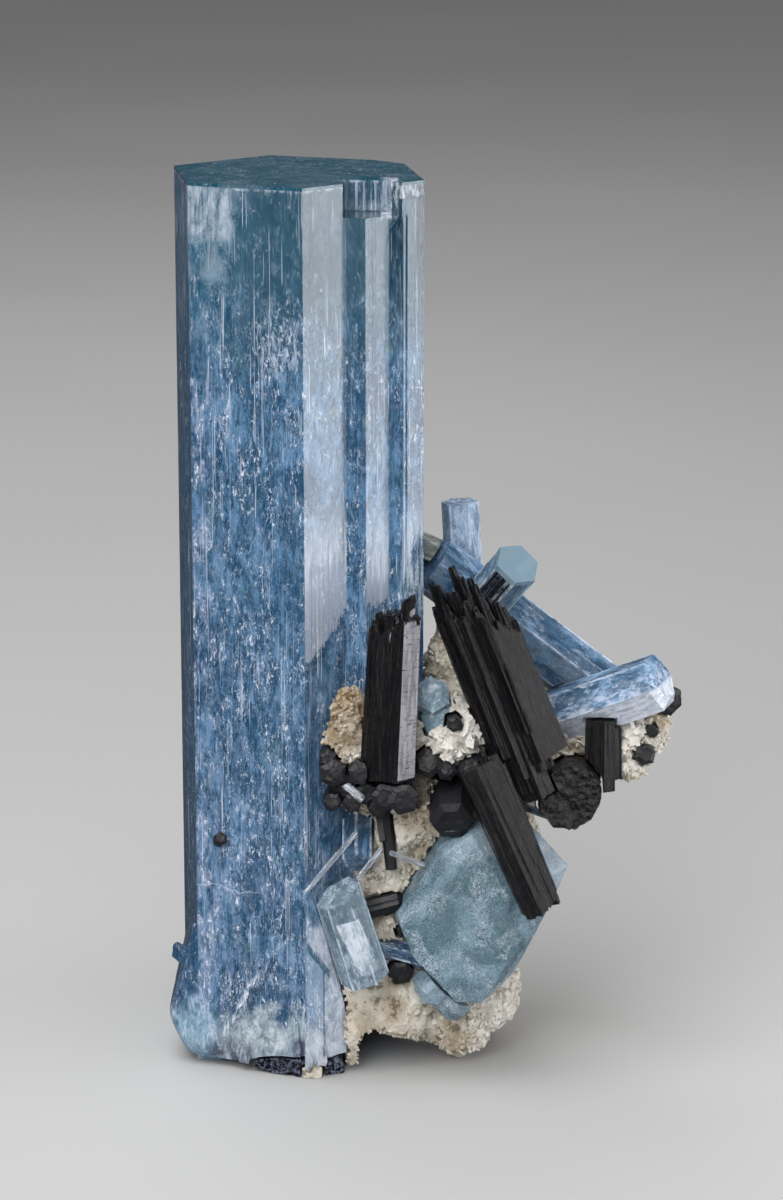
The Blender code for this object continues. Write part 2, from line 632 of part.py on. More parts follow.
def main():
    clear_scene()
    specimen = Specimen()
    build_underside(specimen)
    build_main(specimen)
    build_schorl(specimen)
    small_schorl(specimen)
    small_aquamarines(specimen)
    build_fluorite(specimen)
    build_needles(specimen)
    build_matrix(specimen)


main()
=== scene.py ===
"""Aquamarine specimen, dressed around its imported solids.

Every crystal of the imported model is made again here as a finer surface, with the fine upright steps,
splinters, etched skins and grains that the plain solids leave out. The sizes are those of the solids.
Lengths are in millimetres and become metres as each mesh is made.
"""

import itertools
import json
import math

import bpy
import numpy as np
from bpy.props import FloatProperty, FloatVectorProperty, IntProperty, PointerProperty
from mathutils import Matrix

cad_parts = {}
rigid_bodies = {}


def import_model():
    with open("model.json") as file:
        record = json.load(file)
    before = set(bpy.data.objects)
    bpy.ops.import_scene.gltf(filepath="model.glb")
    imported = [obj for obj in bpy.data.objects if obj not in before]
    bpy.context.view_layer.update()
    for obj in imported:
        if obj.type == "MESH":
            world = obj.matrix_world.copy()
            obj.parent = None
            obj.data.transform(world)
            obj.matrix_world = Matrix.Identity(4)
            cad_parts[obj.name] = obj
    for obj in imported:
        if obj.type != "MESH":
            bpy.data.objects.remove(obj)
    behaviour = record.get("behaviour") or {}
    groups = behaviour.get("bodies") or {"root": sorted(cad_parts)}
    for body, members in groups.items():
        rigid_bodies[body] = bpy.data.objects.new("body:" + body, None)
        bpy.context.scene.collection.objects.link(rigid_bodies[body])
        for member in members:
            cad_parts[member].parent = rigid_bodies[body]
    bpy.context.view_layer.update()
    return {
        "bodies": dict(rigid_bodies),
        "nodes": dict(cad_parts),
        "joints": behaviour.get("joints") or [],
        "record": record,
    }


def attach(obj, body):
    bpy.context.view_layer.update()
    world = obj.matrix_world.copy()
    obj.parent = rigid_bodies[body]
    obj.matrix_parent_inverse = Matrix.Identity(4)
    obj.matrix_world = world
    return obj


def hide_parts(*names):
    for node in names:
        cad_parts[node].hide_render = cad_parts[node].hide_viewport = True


bl_info = {
    "name": "Aquamarine specimen",
    "version": (1, 0, 0),
    "blender": (4, 5, 0),
    "location": "3D View > Sidebar > Specimen",
    "description": "Builds an aquamarine crystal with schorl, fluorite and feldspar around its solids",
    "category": "Add Mesh",
}

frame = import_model()

MM = 0.001
HEIGHT = 107.3
MAIN_RADIUS = 14.15
MAIN_TURN = -80.65
FACE_TURN = MAIN_TURN + 90
FACE_WAY = (0.634, -0.773, 0.0)
GAP = 0.3
NOISE_SIZE = 24
WHITE = (1.0, 1.0, 1.0)


# ---------------------------------------------------------------- noise as whole arrays


def lattice(seed):
    """A block of random numbers that repeats in all directions, three at each point."""
    return np.random.default_rng(seed).random((NOISE_SIZE, NOISE_SIZE, NOISE_SIZE, 3))


def smooth_noise(places, seed=0):
    """Random values at the whole-number points of space, blended across each cell by 3f^2 - 2f^3."""
    table = lattice(seed)[..., 0]
    cell = np.floor(places).astype(int)
    share = places - cell
    share = share * share * (3 - 2 * share)
    total = np.zeros(places.shape[:-1])
    for corner in itertools.product((0, 1), repeat=3):
        weight = np.where(corner, share, 1 - share).prod(-1)
        total += weight * table[tuple(np.moveaxis((cell + corner) % NOISE_SIZE, -1, 0))]
    return total * 2 - 1


def layered_noise(places, seed=0, layers=3):
    """Smooth noise added at halving sizes and halving strengths."""
    return sum(smooth_noise(places * 2.0**k + 7.3 * k, seed + k) / 2.0**k for k in range(layers))


def blocks(places, seed=0):
    """The nearest of a set of scattered seeds: how far it is, and three random numbers that belong to it.

    One seed lies somewhere in each unit cell, and the 27 cells around a point are compared.
    """
    table = lattice(seed)
    cell = np.floor(places).astype(int)
    nearest = np.full(places.shape[:-1], 9.0)
    numbers = np.zeros(places.shape)
    towards = np.zeros(places.shape)
    for step in itertools.product((-1, 0, 1), repeat=3):
        picked = table[tuple(np.moveaxis((cell + step) % NOISE_SIZE, -1, 0))]
        offset = places - (cell + step + picked)
        distance = np.linalg.norm(offset, axis=-1)
        closer = distance < nearest
        nearest = np.where(closer, distance, nearest)
        numbers[closer] = picked[closer]
        towards[closer] = offset[closer]
    return nearest, numbers, towards


def broken_skin(places, seed=0):
    """Flat chips at many angles: each seed owns a tilted plane, and a point lies on its nearest seed's."""
    _, numbers, towards = blocks(places, seed)
    return ((numbers * 2 - 1) * towards).sum(-1) + (numbers[..., 1] - 0.5) * 0.6


# ---------------------------------------------------------------- surfaces


def closed_grid(points):
    """Points and triangles of a grid that wraps around, its first and last rows drawn to their middles."""
    rows, columns = points.shape[:2]
    ring = np.arange(columns)
    following = (ring + 1) % columns
    start = (np.arange(rows - 1) * columns)[:, None]
    a, b, c, d = start + ring, start + following, start + columns + following, start + columns + ring
    first, last, top = rows * columns, rows * columns + 1, (rows - 1) * columns
    triangles = [np.stack([a, b, c], -1).reshape(-1, 3), np.stack([a, c, d], -1).reshape(-1, 3),
                 np.stack([following, ring, np.full(columns, first)], -1),
                 np.stack([top + ring, top + following, np.full(columns, last)], -1)]
    ends = [points[0].mean(0, keepdims=True), points[-1].mean(0, keepdims=True)]
    return np.concatenate([points.reshape(-1, 3), *ends]), np.concatenate(triangles)


class Growth:
    """One crystal: its fine surface, and the plain room that its neighbours leave it."""

    def __init__(self, surface, room, axes=None):
        self.surface, self.room, self.axes = surface, room, axes


def polar(radius, degrees):
    return np.array([math.cos(math.radians(degrees)), math.sin(math.radians(degrees))]) * radius


def hexagon(radius, squash=1.0):
    return np.array([polar(radius, 60 * k) for k in range(6)]) * (1, squash)


def schorl_section(radius):
    """Schorl is rounded three-sided: three broad faces and three narrow ones."""
    return np.array([polar(radius, angle) for angle in (-22, 22, 98, 142, 218, 262)])


def side_normals(corners):
    side = np.roll(corners, -1, 0) - corners
    return np.stack([side[:, 1], -side[:, 0]], 1) / np.linalg.norm(side, axis=1)[:, None]


def widened(corners, gap):
    """Each corner moves along the mean of its sides' normals, until both sides have moved by the gap."""
    here = side_normals(corners)
    before = np.roll(here, 1, 0)
    return corners + (before + here) * (gap / (1 + (before * here).sum(1)))[:, None]


def outline(corners, step):
    """A section walked round at an even step that keeps its corners.

    Gives the points, the outward normal at each, its distance from the nearest corner, and the way walked.
    """
    side = np.roll(corners, -1, 0) - corners
    lengths = np.linalg.norm(side, axis=1)
    counts = np.maximum(1, np.round(lengths / step)).astype(int)
    index = np.repeat(np.arange(len(corners)), counts)
    share = (np.arange(counts.sum()) - (np.cumsum(counts) - counts)[index]) / counts[index]
    points = corners[index] + side[index] * share[:, None]
    walked = (np.cumsum(lengths) - lengths)[index] + share * lengths[index]
    return points, side_normals(corners)[index], np.minimum(share, 1 - share) * lengths[index], walked


def bands(walked, width, rng):
    """Numbers the uneven bands into which the way round a crystal is cut."""
    count = int(walked[-1] / width * 2) + 4
    edges = np.cumsum(rng.uniform(0.25, 1.5, count)) * width
    return np.searchsorted(edges, walked), count + 1


def striae(walked, rise, width, depth, rng):
    """Bands side by side round a crystal, each sunk by its own depth between two heights of its own."""
    band, count = bands(walked, width, rng)
    length = rise[-1] - rise[0]
    sunk = depth * rng.random(count) ** 2
    low = rise[0] + rng.uniform(-1.2, 0.8, count) * length
    high = low + rng.uniform(0.3, 1.8, count) * length
    fade = max(length * 0.03, 0.3)
    up = rise[:, None]
    inside = np.clip((up - low[band]) / fade, 0, 1) * np.clip((high[band] - up) / fade, 0, 1)
    return -sunk[band] * inside


def crystal_axes(root, tip, turn):
    """Two axes across a crystal, the first nearest the front, and the one along it."""
    along = (tip - root) / np.linalg.norm(tip - root)
    front = np.array([0.0, -1.0, 0.0]) if abs(along[1]) < 0.8 else np.array([0.0, 0.0, 1.0])
    across = front - along * front.dot(along)
    across /= np.linalg.norm(across)
    side = np.cross(along, across)
    c, s = math.cos(math.radians(turn)), math.sin(math.radians(turn))
    return across * c + side * s, side * c - across * s, along


CHAMFER_WIDTH = 0.72
CAP_CURVE = 0.8
EDGE_WIDTH = 0.25
STRIA_SIZES = (1.0, 0.42)


def prism_rows(length, spare, pitch, taper, chamfer, cap_rows):
    """The rows of a prism, from the middle of its root to the middle of its tip.

    Gives how far up each row is, how wide, how much of the lean and of the side's relief it takes, and
    which rows are the first on the side and the first on the tip.
    """
    body = length + spare - chamfer
    share = np.linspace(0, 1, max(2, int(body / pitch)))
    rise, lean = -spare + share * (body + spare), share
    scale = np.ones(len(share)) if chamfer else 1 + (taper - 1) * share
    if chamfer:
        rise, lean = np.append(rise, length + spare), np.append(lean, 1.0)
        scale = np.append(scale, taper * CHAMFER_WIDTH)
    foot = np.linspace(0, 1, min(cap_rows, 2) + 2)[1:-1]
    cap = np.linspace(1, 0, cap_rows + 2)[1:-1] ** CAP_CURVE
    on_side = np.concatenate([foot, np.ones(len(rise)), cap])
    lean = np.concatenate([np.zeros(len(foot)), lean, cap])
    scale = np.concatenate([foot, scale, cap * scale[-1]])
    return np.pad(rise, (len(foot), len(cap)), "edge"), scale, lean, on_side, len(foot), len(scale) - len(cap)


def prism(root, tip, corners, turn=0.0, taper=1.0, chamfer=0.0, lean=(0.0, 0.0), step=0.16, row=0.7,
          depth=0.05, width=0.5, ragged=0.0, relief=0.04, rough=0.0, caps=7, seed=1):
    """A prism as a surface of the way round it and the way along it.

    A point is the root, plus the section's point scaled along the two axes across, plus the rise along the
    third. The striae move it along the section's normal, and the caps scale the section down to the middle.
    """
    root, tip = np.array(root, float), np.array(tip, float)
    across, side, along = crystal_axes(root, tip, turn)
    length = np.linalg.norm(tip - root)
    rng = np.random.default_rng(seed)

    def built(section, spare, stride, pitch, cap_rows):
        points, normals, off_corner, walked = outline(section, stride)
        rise, scale, slope, on_side, low, high = prism_rows(length, spare, pitch, taper, chamfer, cap_rows)
        height = rise[:, None] + slope[:, None] * (points @ np.array(lean))
        plan = points[None] * scale[:, None, None]
        push = np.zeros(height.shape)
        if cap_rows:
            crisp = np.clip(off_corner / EDGE_WIDTH, 0, 1)
            cut = sum(striae(walked, rise[low:high], width * size, depth * size, rng)
                      for size in STRIA_SIZES)
            push[low:high] = cut * crisp
            push[high:] = cut[-1] * crisp
            if ragged:
                band, count = bands(walked, width * 1.1, rng)
                ends = ragged * rng.random(count) ** 1.5
                torn = 2.5 * ragged
                weight = np.clip((rise - (length - torn)) / torn, 0, 1)
                height = height - weight[:, None] * ends[band]
            spots = np.concatenate([plan, height[..., None]], -1) + seed * 3.7
            on_cap = (np.arange(len(rise)) >= high)[:, None]
            height = height + on_cap * relief * layered_noise(spots * (0.7, 0.7, 0.0), seed)
            if rough:
                lumps = broken_skin(spots * 1.1, seed) + 0.5 * layered_noise(spots * 1.9, seed + 3)
                push = push + rough * lumps
                height = height + on_cap * (rough * lumps)
        plan = plan + normals[None] * (push * on_side[:, None])[..., None]
        return closed_grid(root + plan[..., :1] * across + plan[..., 1:] * side + height[..., None] * along)

    corners = np.array(corners, float)
    coarse = 1e9
    surface = built(corners, 0.0, step, row, caps)
    room = built(widened(corners, GAP / min(taper, 1.0)), GAP, coarse, coarse, 0)
    return Growth(surface, room, (root, across, side, along))


def bundle(crystals, turn, seed, first=0, squash=1.0, **shape):
    """Six-sided prisms from rows of root, tip and radius, each turned further than the one before."""
    return [prism(root, tip, hexagon(radius, squash), first + turn * k, seed=seed + k, **shape)
            for k, (root, tip, radius) in enumerate(crystals)]


def hull_planes(corners):
    """The planes that close a convex body: those through three corners with every corner on one side."""
    picked = np.array(list(itertools.combinations(range(len(corners)), 3)))
    a, b, c = (corners[picked[:, k]] for k in range(3))
    normal = np.cross(b - a, c - a)
    size = np.linalg.norm(normal, axis=1)
    normal, a = normal[size > 1e-6] / size[size > 1e-6][:, None], a[size > 1e-6]
    beyond = corners @ normal.T - (normal * a).sum(1)
    outer, inner = (beyond < 1e-6).all(0), (beyond > -1e-6).all(0)
    normal = np.concatenate([normal[outer], -normal[inner]])
    reach = (corners @ normal.T).max(0)
    _, unique = np.unique(np.round(np.column_stack([normal, reach]), 3), axis=0, return_index=True)
    return normal[unique], reach[unique]


def round_grid(rows, columns):
    """Unit directions over a ball, by the angle from its pole and the angle round it."""
    polar_angle = np.linspace(0, math.pi, rows + 2)[1:-1][:, None]
    angle = np.linspace(0, 2 * math.pi, columns, endpoint=False)[None]
    return np.stack([np.sin(polar_angle) * np.cos(angle), np.sin(polar_angle) * np.sin(angle),
                     -np.cos(polar_angle) + 0 * angle], -1)


def faceted(corners, rows=90, columns=160, crisp=60.0, relief=0.0, size=1.0, chips=0.0, seed=5):
    """A convex body as a surface of two angles.

    Along a direction, plane k is met at reach_k / (normal_k . direction). The inverse of the distance is
    the crisp-th mean of the inverses, so the edges are a little rounded. Noise then moves it out and in.
    """
    corners = np.array(corners, float)
    middle = corners.mean(0)
    normal, reach = hull_planes(corners)
    reach = reach - normal @ middle

    def built(rows, columns, power, spare):
        towards = round_grid(rows, columns)
        closeness = np.maximum(towards @ normal.T / (reach + spare), 1e-9)
        peak = closeness.max(-1)
        radius = 1 / (peak * ((closeness / peak[..., None]) ** power).sum(-1) ** (1 / power))
        return towards, radius

    towards, radius = built(rows, columns, crisp, 0.0)
    place = middle + towards * radius[..., None]
    push = relief * layered_noise(place / size, seed) + chips * broken_skin(place / (size * 1.4), seed + 9)
    plain_rows, plain_columns, sharp_edges = 36, 72, 400.0
    far, room_radius = built(plain_rows, plain_columns, sharp_edges, GAP + 0.1)
    room = closed_grid(middle + far * room_radius[..., None])
    return Growth(closed_grid(place + towards * push[..., None]), room)


def ball(centre, radii, rows=26, columns=40):
    """An ellipsoid: the directions of a ball, scaled along each axis."""
    return closed_grid(np.array(centre) + round_grid(rows, columns) * np.array(radii))


def upright(corners, bottom, top):
    """A plain block of a given plan between two heights."""
    corners = np.array(corners, float)
    return closed_grid(np.stack([np.column_stack([corners, np.full(len(corners), z)])
                                 for z in (bottom, top)]))


def scattered(local, sides, centres):
    """Many small bodies as one surface: the corners of each are put round its own centre."""
    triangles = np.array(sides)[None] + local.shape[1] * np.arange(len(centres))[:, None, None]
    return (local + centres[:, None]).reshape(-1, 3), triangles.reshape(-1, 3)


# ---------------------------------------------------------------- objects


def new_object(name, surface, collection=None):
    """Puts an array of points and one of triangles into a mesh."""
    points, triangles = surface
    mesh = bpy.data.meshes.new(name)
    mesh.vertices.add(len(points))
    mesh.vertices.foreach_set("co", (points * MM).astype(np.float32).ravel())
    mesh.loops.add(triangles.size)
    mesh.loops.foreach_set("vertex_index", triangles.astype(np.int32).ravel())
    mesh.polygons.add(len(triangles))
    mesh.polygons.foreach_set("loop_start", np.arange(0, triangles.size, 3, dtype=np.int32))
    mesh.update(calc_edges=True)
    item = bpy.data.objects.new(name, mesh)
    (collection or bpy.context.scene.collection).objects.link(item)
    return item


def joined(surfaces):
    """Several surfaces as one, their triangles renumbered."""
    counts = np.cumsum([0] + [len(points) for points, _ in surfaces])
    return (np.concatenate([points for points, _ in surfaces]),
            np.concatenate([triangles + start for (_, triangles), start in zip(surfaces, counts)]))


def combine(item, operation, solids):
    """Adds solids to an object or cuts it with them, one after another, and applies the result."""
    for surface in solids:
        guide = new_object(item.name + "_guide", surface)
        modifier = item.modifiers.new("guide", "BOOLEAN")
        modifier.operation, modifier.solver, modifier.object = operation, "MANIFOLD", guide
        settle(item)
        bpy.data.objects.remove(guide)


def settle(item):
    """Applies the modifiers of an object."""
    graph = bpy.context.evaluated_depsgraph_get()
    graph.update()
    mesh = bpy.data.meshes.new_from_object(item.evaluated_get(graph))
    item.modifiers.clear()
    old, item.data = item.data, mesh
    bpy.data.meshes.remove(old)


def values(parts, name, width=3, kind=np.float32):
    """One value of every part of a mesh, as rows."""
    found = np.empty(len(parts) * width, kind)
    parts.foreach_get(name, found)
    return found.reshape(-1, width)


def coordinates(item):
    """The vertices of an object in millimetres."""
    return values(item.data.vertices, "co").astype(float) / MM


def vertex_normals(item):
    return values(item.data.vertices, "normal").astype(float)


def set_attribute(item, name, values):
    kind = "FLOAT_VECTOR" if values.ndim == 2 else "FLOAT"
    attribute = item.data.attributes.new(name, kind, "POINT")
    attribute.data.foreach_set("vector" if values.ndim == 2 else "value", values.astype(np.float32).ravel())


def largest_body(item):
    """Drops the loose crumbs that a cut leaves: of the joined-up bodies, only the largest is kept."""
    mesh = item.data
    edges = values(mesh.edges, "vertices", 2, np.int32)
    label = np.arange(len(mesh.vertices))
    while True:
        lower = np.minimum(label[edges[:, 0]], label[edges[:, 1]])
        updated = label.copy()
        np.minimum.at(updated, edges[:, 0], lower)
        np.minimum.at(updated, edges[:, 1], lower)
        updated = updated[updated]
        if (updated == label).all():
            break
        label = updated
    names, counts = np.unique(label, return_counts=True)
    if len(names) == 1:
        return
    keep = label == names[counts.argmax()]
    corners = values(mesh.loops, "vertex_index", 1, np.int32).reshape(-1, 3)
    corners = (np.cumsum(keep) - 1)[corners[keep[corners[:, 0]]]]
    kept = new_object("kept", (coordinates(item)[keep], corners))
    old, item.data = item.data, kept.data
    bpy.data.objects.remove(kept)
    bpy.data.meshes.remove(old)


def painted_sheen(item, direction, low=(-99, -99, -99), high=(99, 99, 130)):
    """Marks what looks in one direction, inside a box, for a painted sheen or painted reflection: the share
    rises with the cosine.
    """
    least, rise = 0.85, 0.1
    places = coordinates(item)
    facing = vertex_normals(item) @ (np.array(direction) / np.linalg.norm(direction))
    inside = ((places > low) & (places < high)).all(1)
    set_attribute(item, "painted_sheen", np.clip((facing - least) / rise, 0, 1) * inside)


def triangulate(item):
    modifier = item.modifiers.new("triangles", "TRIANGULATE")
    modifier.min_vertices = 4
    settle(item)


class Specimen:
    """Grows the pieces in order, each cut back from the room of those before it."""

    taken = []
    table = [(-60, -60), (80, -60), (80, 60), (-60, 60)]

    @classmethod
    def cut_back(cls, item, trims=()):
        """Takes from a piece the rooms that it meets, its own trims, and what hangs below the table."""
        low, high = coordinates(item).min(0), coordinates(item).max(0)
        rooms = [room for room in cls.taken
                 if (room[0].min(0) < high).all() and (low < room[0].max(0)).all()]
        rooms += list(trims)
        if low[2] < 0:
            rooms.append(upright(cls.table, -30, 0))
        combine(item, "DIFFERENCE", rooms)
        triangulate(item)
        largest_body(item)

    @classmethod
    def grow(cls, name, node, growths, material, slot, trims=(), sharp=24.0):
        """One piece: its growths are joined, cut back from its neighbours and given their material."""
        item = new_object(name, growths[0].surface)
        combine(item, "UNION", [growth.surface for growth in growths[1:]])
        cls.cut_back(item, trims)
        cls.taken += [growth.room for growth in growths]
        if growths[0].axes:
            root, *axes = growths[0].axes
            set_attribute(item, "crystal", (coordinates(item) - root) @ np.array(axes).T)
        return finish_piece(item, node, material, sharp)


def finish_piece(item, nodes, material, sharp=24.0):
    """Smooth shading with sharp edges, a material, and a place on the body of the model."""
    item.data.materials.clear()
    item.data.materials.append(material)
    item.data.shade_smooth()
    item.data.set_sharp_from_angle(angle=math.radians(sharp))
    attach(item, "root")
    if nodes:
        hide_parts(*([nodes] if isinstance(nodes, str) else nodes))
    return item


# ---------------------------------------------------------------- materials


def sum_of(operation, swapped=False):
    """A sum of two numbers of a material, written as a method of the first, or of the second if swapped."""
    def method(self, other=0.0):
        pair = (other, self) if swapped else (self, other)
        return self.paint.node("Math", {"operation": operation}, dict(enumerate(pair)))
    return method


class Number:
    """A socket of a material, on which sums are written as on a number."""

    __add__ = __radd__ = sum_of("ADD")
    __mul__ = __rmul__ = sum_of("MULTIPLY")
    __sub__, __rsub__ = sum_of("SUBTRACT"), sum_of("SUBTRACT", True)
    __abs__, largest = sum_of("ABSOLUTE"), sum_of("MAXIMUM")
    turn, root = sum_of("ARCTAN2"), sum_of("SQRT")

    def __init__(self, paint, socket):
        self.paint, self.socket = paint, socket

    def between(self, low, high, to_low=0.0, to_high=1.0):
        """A smooth step: to_low up to low, to_high from high on."""
        return self.paint.node("MapRange", {"interpolation_type": "SMOOTHSTEP"},
                               dict(zip(("Value", "From Min", "From Max", "To Min", "To Max"),
                                        (self, low, high, to_low, to_high))))

    def within(self, start, low, high, end):
        """A smooth band: nothing up to start, all from low to high, and nothing again from end on."""
        return self.between(start, low) * self.between(end, high)


class Paint:
    """The nodes of one material, or of another owner of nodes."""

    def __init__(self, name, owner=None, attribute=None):
        self.attribute = attribute
        self.material = owner or bpy.data.materials.new(name)
        self.material.use_nodes = True
        self.tree = self.material.node_tree
        self.tree.nodes.clear()

    def node(self, kind, settings=None, inputs=None, output=0):
        """Adds a node, gives it its settings and inputs, and returns one of its outputs."""
        made = self.tree.nodes.new("ShaderNode" + kind)
        for name, value in (settings or {}).items():
            setattr(made, name, value)
        for name, value in (inputs or {}).items():
            if isinstance(value, Number):
                self.tree.links.new(value.socket, made.inputs[name])
            else:
                made.inputs[name].default_value = value
        return Number(self, made.outputs[output]) if made.outputs else made

    def marked(self, name):
        """How strongly the points of a piece carry a mark."""
        return self.node("Attribute", {"attribute_name": name}, output="Fac")

    def place(self, scale=(1, 1, 1), attribute=None):
        """Where a point is, in millimetres, stretched along each axis."""
        if attribute:
            start, size = self.node("Attribute", {"attribute_name": attribute}, output="Vector"), 1.0
        else:
            start, size = self.node("TexCoord", output="Object"), 1 / MM
        scale = [size * part for part in scale]
        return self.node("VectorMath", {"operation": "MULTIPLY"}, {0: start, 1: scale})

    def split(self, place, axes="XYZ"):
        return [self.node("SeparateXYZ", inputs={0: place}, output=axis) for axis in axes]

    def noise(self, place, scale, detail=3.0, roughness=0.55, warp=0.0):
        return self.node("TexNoise", inputs={"Vector": place, "Scale": scale, "Detail": detail,
                                             "Roughness": roughness, "Distortion": warp})

    def spots(self, scale, detail=3.0, roughness=0.55, warp=0.0):
        """Noise that is the same size in all directions."""
        return self.noise(self.place(), scale, detail, roughness, warp)

    def streaks(self, along, scale, detail=3.0, roughness=0.55, warp=0.0, across=1.0):
        """Noise drawn out along Z, or along the crystal if the material follows one: the less, the longer."""
        place = self.place((across, across, along), self.attribute)
        return self.noise(place, scale, detail, roughness, warp)

    def mix(self, share, first, second):
        """One colour laid over another by a share."""
        colours = {6 + k: colour if isinstance(colour, Number) else (*colour, 1.0)
                   for k, colour in enumerate((first, second))}
        return self.node("Mix", {"data_type": "RGBA"}, {0: share, **colours}, output=2)

    def coats(self, ground, coats):
        """Colours laid over a ground one after another, each by its own share."""
        for share, colour in coats:
            ground = self.mix(share, ground, colour)
        return ground

    def bump(self, height, strength, distance):
        return self.node("Bump", inputs={"Height": height, "Strength": strength, "Distance": distance * MM})

    def shader(self, **inputs):
        if not isinstance(inputs["Base_Color"], Number):
            inputs["Base_Color"] = (*inputs["Base_Color"], 1.0)
        inputs = {name.replace("_", " "): value for name, value in inputs.items()}
        return self.node("BsdfPrincipled", inputs=inputs)

    def glass_and_milk(self, share, relief, paint, milk_roughness, ior=1.577, glass_roughness=0.03):
        """Clear mineral and painted mineral, mixed by a share."""
        clear = self.shader(Base_Color=WHITE, Roughness=glass_roughness, IOR=ior, Transmission_Weight=1.0,
                            Normal=relief)
        milky = self.shader(Base_Color=paint, Roughness=milk_roughness, IOR=ior, Normal=relief)
        return self.node("MixShader", inputs={0: share, 1: clear, 2: milky})

    def finish(self, surface, tint=None, density=0.0):
        """Joins a surface, and a plain absorption where the mineral is clear, to the output."""
        inputs = {"Surface": surface}
        if tint:
            clear = {"Color": (*tint, 1.0), "Density": density}
            inputs["Volume"] = self.node("VolumeAbsorption", inputs=clear)
        self.node("OutputMaterial", inputs=inputs)
        return self.material


